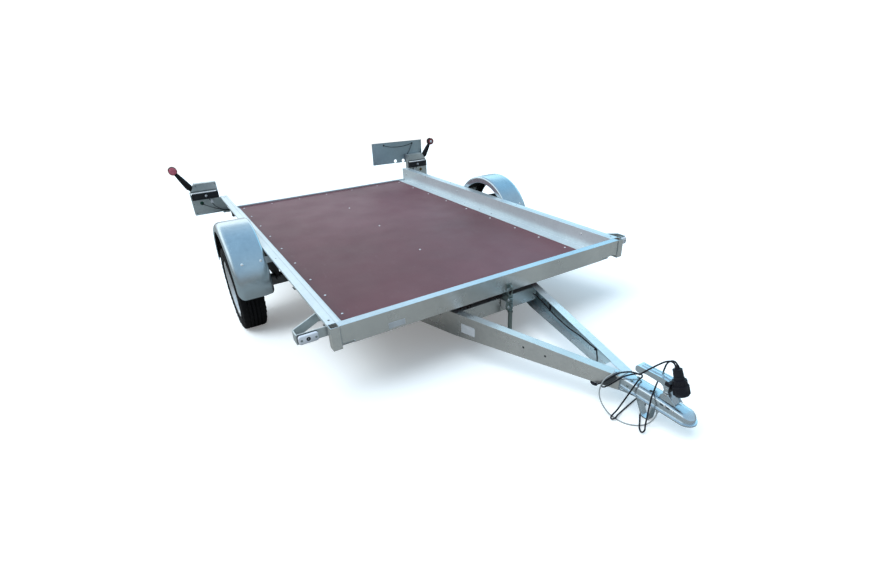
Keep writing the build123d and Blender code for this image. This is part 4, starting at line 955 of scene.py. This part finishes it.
bm = bmesh.new()
for s in (-1, 1):
    lathe(bm, (s * 19, -846, -24), Z, [(-0.2, 5.2), (1.2, 5.2), (2.0, 3.8), (2.0, 0)], 16)
    lathe(bm, (s * 31, -838, -48), (s, 0, 0), [(-0.2, 5.2), (1.2, 5.2), (2.0, 3.8), (2.0, 0)], 16)
piece("drawbar_bolts", bm, ZINC_DARK, "drawbar")

# thin strap clips that hang from the beams' flanges round the leads
bm = bmesh.new()
for s in (-1, 1):
    slab(bm, (s * 190.5, -193, -46), X, Z, Y, 1.6, 36, 7)
    slab(bm, (s * 184, -193, -74.5), X, Z, Y, 12, 1.6, 7)
    slab(bm, (s * 187.6, -193, -28.9), X, Z, Y, 8, 1.6, 9)
piece("strap_clips", bm, ZINC, "drawbar", bevel=0.4)

# ---- coupling: slots, bolts, catch --------------------------------------------------------------------------
# dark slots on the head's sides: painted shade
bm = bmesh.new()
for s in (-1, 1):
    for y in (-983.5, -1009):
        slab(bm, (s * 31.05, y, -38), Y, Z, X, 13, 5.5, 0.7)
piece("head_slots", bm, HOLE_SHADE, "drawbar", bevel=0.5)
bm = bmesh.new()
for s in (-1, 1):
    lathe(bm, (s * 31, -996.5, -38), (s, 0, 0), [(-0.2, 6.0), (1.4, 6.0), (2.6, 4.5), (2.6, 0)], 18)
    lathe(bm, (s * 31, -1028, -40), (s, 0, 0), [(-0.2, 4.6), (1.0, 4.6), (1.9, 3.4), (1.9, 0)], 16)
    lathe(bm, (s * 18, -985.5, 1), (s, 0, 0), [(-0.2, 10.5), (1.2, 10.5), (1.8, 9.4)], 20)
    lathe(bm, (s * 18, -985.5, 1), (s, 0, 0), [(0.8, 6.6), (4.6, 6.2), (5.4, 4.6), (5.4, 0)], 18)
    slab(bm, (s * 18.3, -983, 22), Y, Z, X, 11, 8, 1.2)
piece("coupling_pins", bm, STEEL, "drawbar", bevel=0.3)
# pressed head: inverted channel with a rounded nose that rolls down to the front, and a turned-out lip
bm = bmesh.new()


def head_outline(w, nose, seg=20):
    """Half outline from the rear left round the nose to the rear right."""
    pts = [(-w, -806.5), (-w, -872), (-w, -950), (-w, NOSE)]
    for i in range(1, seg):
        a = math.pi * i / seg
        pts.append((-w * math.cos(a), NOSE - nose * math.sin(a)))
    return pts + [(w, NOSE), (w, -950), (w, -872), (w, -806.5)]


NOSE = -1062.0
rings = []
for w, nose, z, drop in ((30.6, 30.6, -67.4, 0), (30.8, 30.8, -50, 0), (30.8, 30.8, -42, 0), (30.3, 29.5, -36, 0), (28.6, 26.5, -30.5, 0),
                         (26.0, 23.0, -27.2, 0), (22.5, 19.0, -25.4, 0), (17.0, 13.0, -24.3, 0), (9.0, 6.0, -24.05, 0)):
    ring = []
    for x, y in head_outline(w, nose):
        f = min(1.0, max(0.0, (-1018.0 - y) / 74.0))
        ring.append(bm.verts.new((x, y, z - 21.0 * f ** 1.9 * max(0.0, z + 50.0) / 26.0)))
    rings.append(ring)
for a, b in zip(rings, rings[1:]):
    for i in range(len(a) - 1):
        bm.faces.new((a[i], a[i + 1], b[i + 1], b[i]))
last = rings[-1]
half = len(last) // 2
for i in range(half):
    q = len(last) - 1 - i
    if q - i > 2:
        bm.faces.new((last[i], last[i + 1], last[q - 1], last[q]))
# inner skin, so that the pressing is a shell with a thickness
inner = []
for w, nose, z in ((26.8, 26.8, -67.4), (26.8, 25.5, -36), (20.0, 15.0, -31.0)):
    ring = []
    for x, y in head_outline(w, nose):
        f = min(1.0, max(0.0, (-1018.0 - y) / 74.0))
        ring.append(bm.verts.new((x, y, z - 21.0 * f ** 1.9 * max(0.0, z + 50.0) / 26.0)))
    inner.append(ring)
for a, b in zip(inner, inner[1:]):
    for i in range(len(a) - 1):
        bm.faces.new((a[i + 1], a[i], b[i], b[i + 1]))
for i in range(len(rings[0]) - 1):
    bm.faces.new((rings[0][i + 1], rings[0][i], inner[0][i], inner[0][i + 1]))
lip_out = [bm.verts.new((x, y, -67.9)) for x, y in head_outline(37.4, 37.4)]
lip_in = [bm.verts.new((x, y, -67.9)) for x, y in head_outline(27.0, 27.0)]
lip_up = [bm.verts.new((x, y, -62.4)) for x, y in head_outline(37.4, 37.4)]
lip_root = [bm.verts.new((x, y, -61.2)) for x, y in head_outline(30.4, 30.4)]
for a, b in ((lip_in, lip_out), (lip_out, lip_up), (lip_up, lip_root)):
    for i in range(len(a) - 1):
        bm.faces.new((a[i], a[i + 1], b[i + 1], b[i]))
# lower edge that slopes down to the rear, with its lip
for s in (-1, 1):
    side = [(-806.5, -66), (-806.5, -81.5), (-872, -68), (-872, -62)]
    a = [bm.verts.new((s * 30.8, y, z)) for y, z in side]
    b = [bm.verts.new((s * 26.8, y, z)) for y, z in side]
    bm.faces.new(a)
    bm.faces.new(list(reversed(b)))
    for i in range(4):
        q = (i + 1) % 4
        bm.faces.new((a[i], b[i], b[q], a[q]))
    edge = [(-806.5, -77), (-806.5, -81.8), (-872, -67.9), (-872, -63.2)]
    a = [bm.verts.new((s * 37.4, y, z)) for y, z in edge]
    b = [bm.verts.new((s * 30.0, y, z)) for y, z in edge]
    bm.faces.new(a)
    bm.faces.new(list(reversed(b)))
    for i in range(4):
        q = (i + 1) % 4
        bm.faces.new((a[i], b[i], b[q], a[q]))
# closed rear end of the top
q = [bm.verts.new((x, -806.5, z)) for x, z in ((-30.6, -66), (30.6, -66), (30.6, -38), (24, -26), (-24, -26), (-30.6, -38))]
w = [bm.verts.new((x, -810.5, z)) for x, z in ((-30.6, -66), (30.6, -66), (30.6, -38), (24, -26), (-24, -26), (-30.6, -38))]
bm.faces.new(q)
bm.faces.new(list(reversed(w)))
# socket's ball cup seen from below
lathe(bm, (0, NOSE, -67.5), Z, [(0, 27.4), (3, 26.2), (12, 23.5), (20, 17), (24, 9), (25.2, 0)], 32)
o = piece("coupling_shell", bm, ZINC, "drawbar", smooth=50)
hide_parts("coupling_head")
# bluish-black dimple on the head's top: painted shade in the recess
bm = bmesh.new()
lathe(bm, (-12, -925, -24.2), Z, [(0, 6.2), (0.35, 6.2), (0.4, 4.8), (0.1, 0)], 20)
piece("head_dimple", bm, HOLE_SHADE, "drawbar")
bm = bmesh.new()
for s in (-1, 1):
    pts = [(-1030, -24), (-1010, -6), (-996, 4), (-978, 4), (-966, -8), (-962, -24)]
    a = [bm.verts.new((s * 18.1, y, z)) for y, z in pts]
    b = [bm.verts.new((s * 22.0, y, z)) for y, z in pts]
    bm.faces.new(a)
    bm.faces.new(list(reversed(b)))
    for i in range(len(pts)):
        j = (i + 1) % len(pts)
        bm.faces.new((a[i], b[i], b[j], a[j]))
piece("handle_cheeks", bm, ZINC, "drawbar", bevel=1.0)

# blank raised panel and edge roll on the handle
bm = bmesh.new()
rings = []
for y, z, w in ((-982, 55.2, 10), (-966, 57.2, 12), (-900, 54.2, 12), (-868, 52.9, 10)):
    rings.append([bm.verts.new((x, y, z + h)) for x, h in ((-w, -0.5), (-w + 2, 1.2), (w - 2, 1.2), (w, -0.5))])
for a, b in zip(rings, rings[1:]):
    for i in range(3):
        bm.faces.new((a[i], a[i + 1], b[i + 1], b[i]))
    bm.faces.new((a[3], a[0], b[0], b[3]))
bm.faces.new(rings[0])
bm.faces.new(list(reversed(rings[-1])))
piece("handle_rib", bm, ZINC, "drawbar", smooth=50)

# ---- tipping latch: eye, hook, lever and spring ---------------------------------------------------------------
tube("latch_eye", [(30, -60, -4), (20, -60, 8), (18, -60, 26), (24, -60, 40), (33, -60, 43), (42, -60, 38), (46, -60, 24), (44, -60, 8), (36, -60, -4)],
     3.4, ZINC_DARK, "drawbar")
bm = bmesh.new()
lathe(bm, (36, -60, -88), (0, 0, -1), [(0, 14), (5, 14), (7, 12.5), (7, 11)], 20)
for z in range(6):
    lathe(bm, (36, -60, -12 - z * 10), (0, 0, -1), [(0, 9.0), (1.6, 12.5), (4.8, 12.5), (6.4, 9.0)], 18)
lathe(bm, (36, -60, -203), (0, 0, -1), [(-6, 11), (-4, 11.9), (4, 11.9), (10, 10.4), (12, 8)], 20)
piece("latch_collars", bm, ZINC_DARK, "drawbar")
bm = bmesh.new()
for z in (-22, -62):
    hex_bolt(bm, (26, -60, z), (0, -1, 0), 6.0, 4.0)
    hex_bolt(bm, (47, -60, z), (0, -1, 0), 5.0, 4.0)
slab(bm, (14.5, -34, -52), X, Z, Y, 9, 46, 36)
piece("latch_bolts", bm, STEEL, "drawbar", bevel=0.5)
tube("latch_hook", [(36, -44, 52), (36, -52, 56), (36, -66, 54), (36, -72, 44), (36, -70, 33), (36, -64, 30)], 4.2, ZINC_DARK, "bed")
bm = bmesh.new()
for x in (27, 45):
    hex_bolt(bm, (x, -48, 31), (0, -1, 0), 4.5, 3.4)
piece("staple_bolts", bm, STEEL, "bed")

# ---- plug: ribs, gland -------------------------------------------------------------------------------------------
top, end = Vector((0, -995, 108)), Vector((0, -1031, 20))
ax = (end - top).normalized()
bm = bmesh.new()
lathe(bm, top, ax, [(1, 12.5), (3, 15.4), (12, 16.2), (12.6, 15.2), (14, 15.2), (14.6, 16.6), (24, 17), (24.6, 15.8), (27, 15.8), (27.8, 17.4), (38, 18)], 28)
for i in range(14):
    a = 2 * math.pi * i / 14
    u, v, n = axes(ax)
    e = u * math.cos(a) + v * math.sin(a)
    slab(bm, top + ax * 49 + e * 23.6, n, u * math.sin(a) - v * math.cos(a), e, 18, 4.2, 2.2)
    slab(bm, top + ax * 74 + e * 27.0, n, u * math.sin(a) - v * math.cos(a), e, 24, 5.0, 2.0)
lathe(bm, top, ax, [(59, 27.6), (60, 28.4), (63, 28.4), (64, 27.6)], 32)
lathe(bm, top, ax, [(85, 27.4), (86, 28.2), (89, 28.2), (90, 26.0), (96, 22.6), (96.4, 0)], 32)
piece("plug_ribs", bm, PLUG_BLACK, "drawbar", bevel=0.5)
# tapered strain reliefs of the two leads
for side, pts in (("left", LEAD_LEFT), ("right", LEAD_RIGHT)):
    bm = bmesh.new()
    p, q = Vector(pts[-1]), Vector(pts[-2])
    lathe(bm, p - (q - p).normalized() * 2, q - p, [(0, 6.0), (4, 6.0), (6, 5.2), (7, 5.6), (9, 4.9), (10, 5.2), (13, 4.4), (15, 3.3)], 18)
    piece("plug_relief_" + side, bm, PLUG_BLACK, "drawbar")
# ferrules of the breakaway wire, and the clip under the head
bm = bmesh.new()
lathe(bm, (-29, -779, -19.5), (-1, 0, 0), [(0, 4.8), (8, 4.8), (9, 4.0), (13, 3.4), (13.5, 2.6)], 16)
lathe(bm, (-34, -975.5, -67.5), (0, 0, -1), [(0, 5.2), (8, 5.2), (9, 4.2), (13, 3.4), (13.6, 2.6)], 16)
piece("wire_ferrules", bm, ZINC, "drawbar")
# dark patch on the near beam between the leads: painted shade cast by the leads
bm = bmesh.new()
patch = [(-732, -88), (-738, -79), (-745, -72), (-752, -64), (-760, -55), (-768, -46), (-776, -37), (-786, -28), (-796, -33),
         (-790, -44), (-783, -54), (-774, -66), (-764, -80), (-752, -88), (-742, -92)]
lo = [bm.verts.new(on_beam(-1, y, z, -0.2)) for y, z in patch]
hi = [bm.verts.new(on_beam(-1, y, z, 0.5)) for y, z in patch]
bm.faces.new(lo)
bm.faces.new(list(reversed(hi)))
for i in range(len(patch)):
    q = (i + 1) % len(patch)
    bm.faces.new((lo[i], hi[i], hi[q], lo[q]))
piece("beam_patch", bm, LEAD_SHADE, "drawbar")
tube("lead_sleeve", [LEAD_LEFT[q] for q in (3, 4, 5, 6, 7, 8)], 6.5, CABLE_BLACK, "drawbar")

# ---- floor and light -----------------------------------------------------------------------------------------------
fl = bpy.data.meshes.new("floor")
fl.from_pydata([(-30, -30, 0), (30, -30, 0), (30, 30, 0), (-30, 30, 0)], [], [(0, 1, 2, 3)])
floor = bpy.data.objects.new("floor", fl)
bpy.context.collection.objects.link(floor)
m, n, l, bsdf, co = new_mat("studio_floor")
seen = n.new("ShaderNodeLightPath").outputs["Is Camera Ray"]
l.new(mix(n, l, seen, (0.31, 0.30, 0.28), (0.93, 0.93, 0.93)), bsdf.inputs["Base Color"])
bsdf.inputs["Roughness"].default_value = 0.9
bsdf.inputs["Specular IOR Level"].default_value = 0.0
l.new(mix(n, l, seen, (0.0, 0.0, 0.0), (1.0, 1.0, 1.0)), bsdf.inputs["Emission Color"])
bsdf.inputs["Emission Strength"].default_value = 0.22
fl.materials.append(m)

# soft studio room: bright ring above the horizon, bluer overhead, grey below
world = bpy.data.worlds.new("studio")
bpy.context.scene.world = world
world.use_nodes = True
n, l = world.node_tree.nodes, world.node_tree.links
bg = n["Background"]
sep = n.new("ShaderNodeSeparateXYZ")
l.new(n.new("ShaderNodeTexCoord").outputs["Generated"], sep.inputs["Vector"])
room = ramp(n, l, sep.outputs["Z"], [(0.0, (0.18, 0.172, 0.16)), (0.05, (0.25, 0.243, 0.232)), (0.20, (0.46, 0.50, 0.53)), (0.33, (0.88, 0.97, 1.0)),
                                     (0.58, (0.90, 0.99, 1.0)), (0.71, (0.42, 0.54, 0.64)), (1.0, (0.24, 0.375, 0.50))])
back_room = ramp(n, l, sep.outputs["Z"], [(0.0, (0.18, 0.172, 0.16)), (0.15, (0.21, 0.22, 0.225)), (0.40, (0.30, 0.40, 0.48)), (1.0, (0.24, 0.375, 0.50))])


def between(socket, lo, hi):
    r = n.new("ShaderNodeMapRange")
    r.interpolation_type = 'SMOOTHSTEP'
    r.inputs["From Min"].default_value = lo
    r.inputs["From Max"].default_value = hi
    l.new(socket, r.inputs["Value"])
    return r.outputs["Result"]


room = mix(n, l, between(sep.outputs["X"], 0.20, 0.72), room, mix(n, l, 1.0, room, (0.54, 0.84, 1.0), 'MULTIPLY'))
room = mix(n, l, between(sep.outputs["Y"], -0.40, 0.10), back_room, room)
seen = n.new("ShaderNodeLightPath").outputs["Is Camera Ray"]
l.new(mix(n, l, seen, room, (0.72, 0.72, 0.72)), bg.inputs["Color"])
bg.inputs["Strength"].default_value = 1.56

sun = bpy.data.lights.new("soft_overhead", 'SUN')
sun.energy, sun.angle, sun.color = 1.9, math.radians(50), (0.93, 0.98, 1.0)
o = bpy.data.objects.new("soft_overhead", sun)
o.visible_glossy = False
o.rotation_euler = Vector((0.50, 0.12, -1.0)).to_track_quat('-Z', 'Y').to_euler()
bpy.context.collection.objects.link(o)

vs = bpy.context.scene.view_settings
vs.view_transform = 'Standard'
vs.look = 'None'
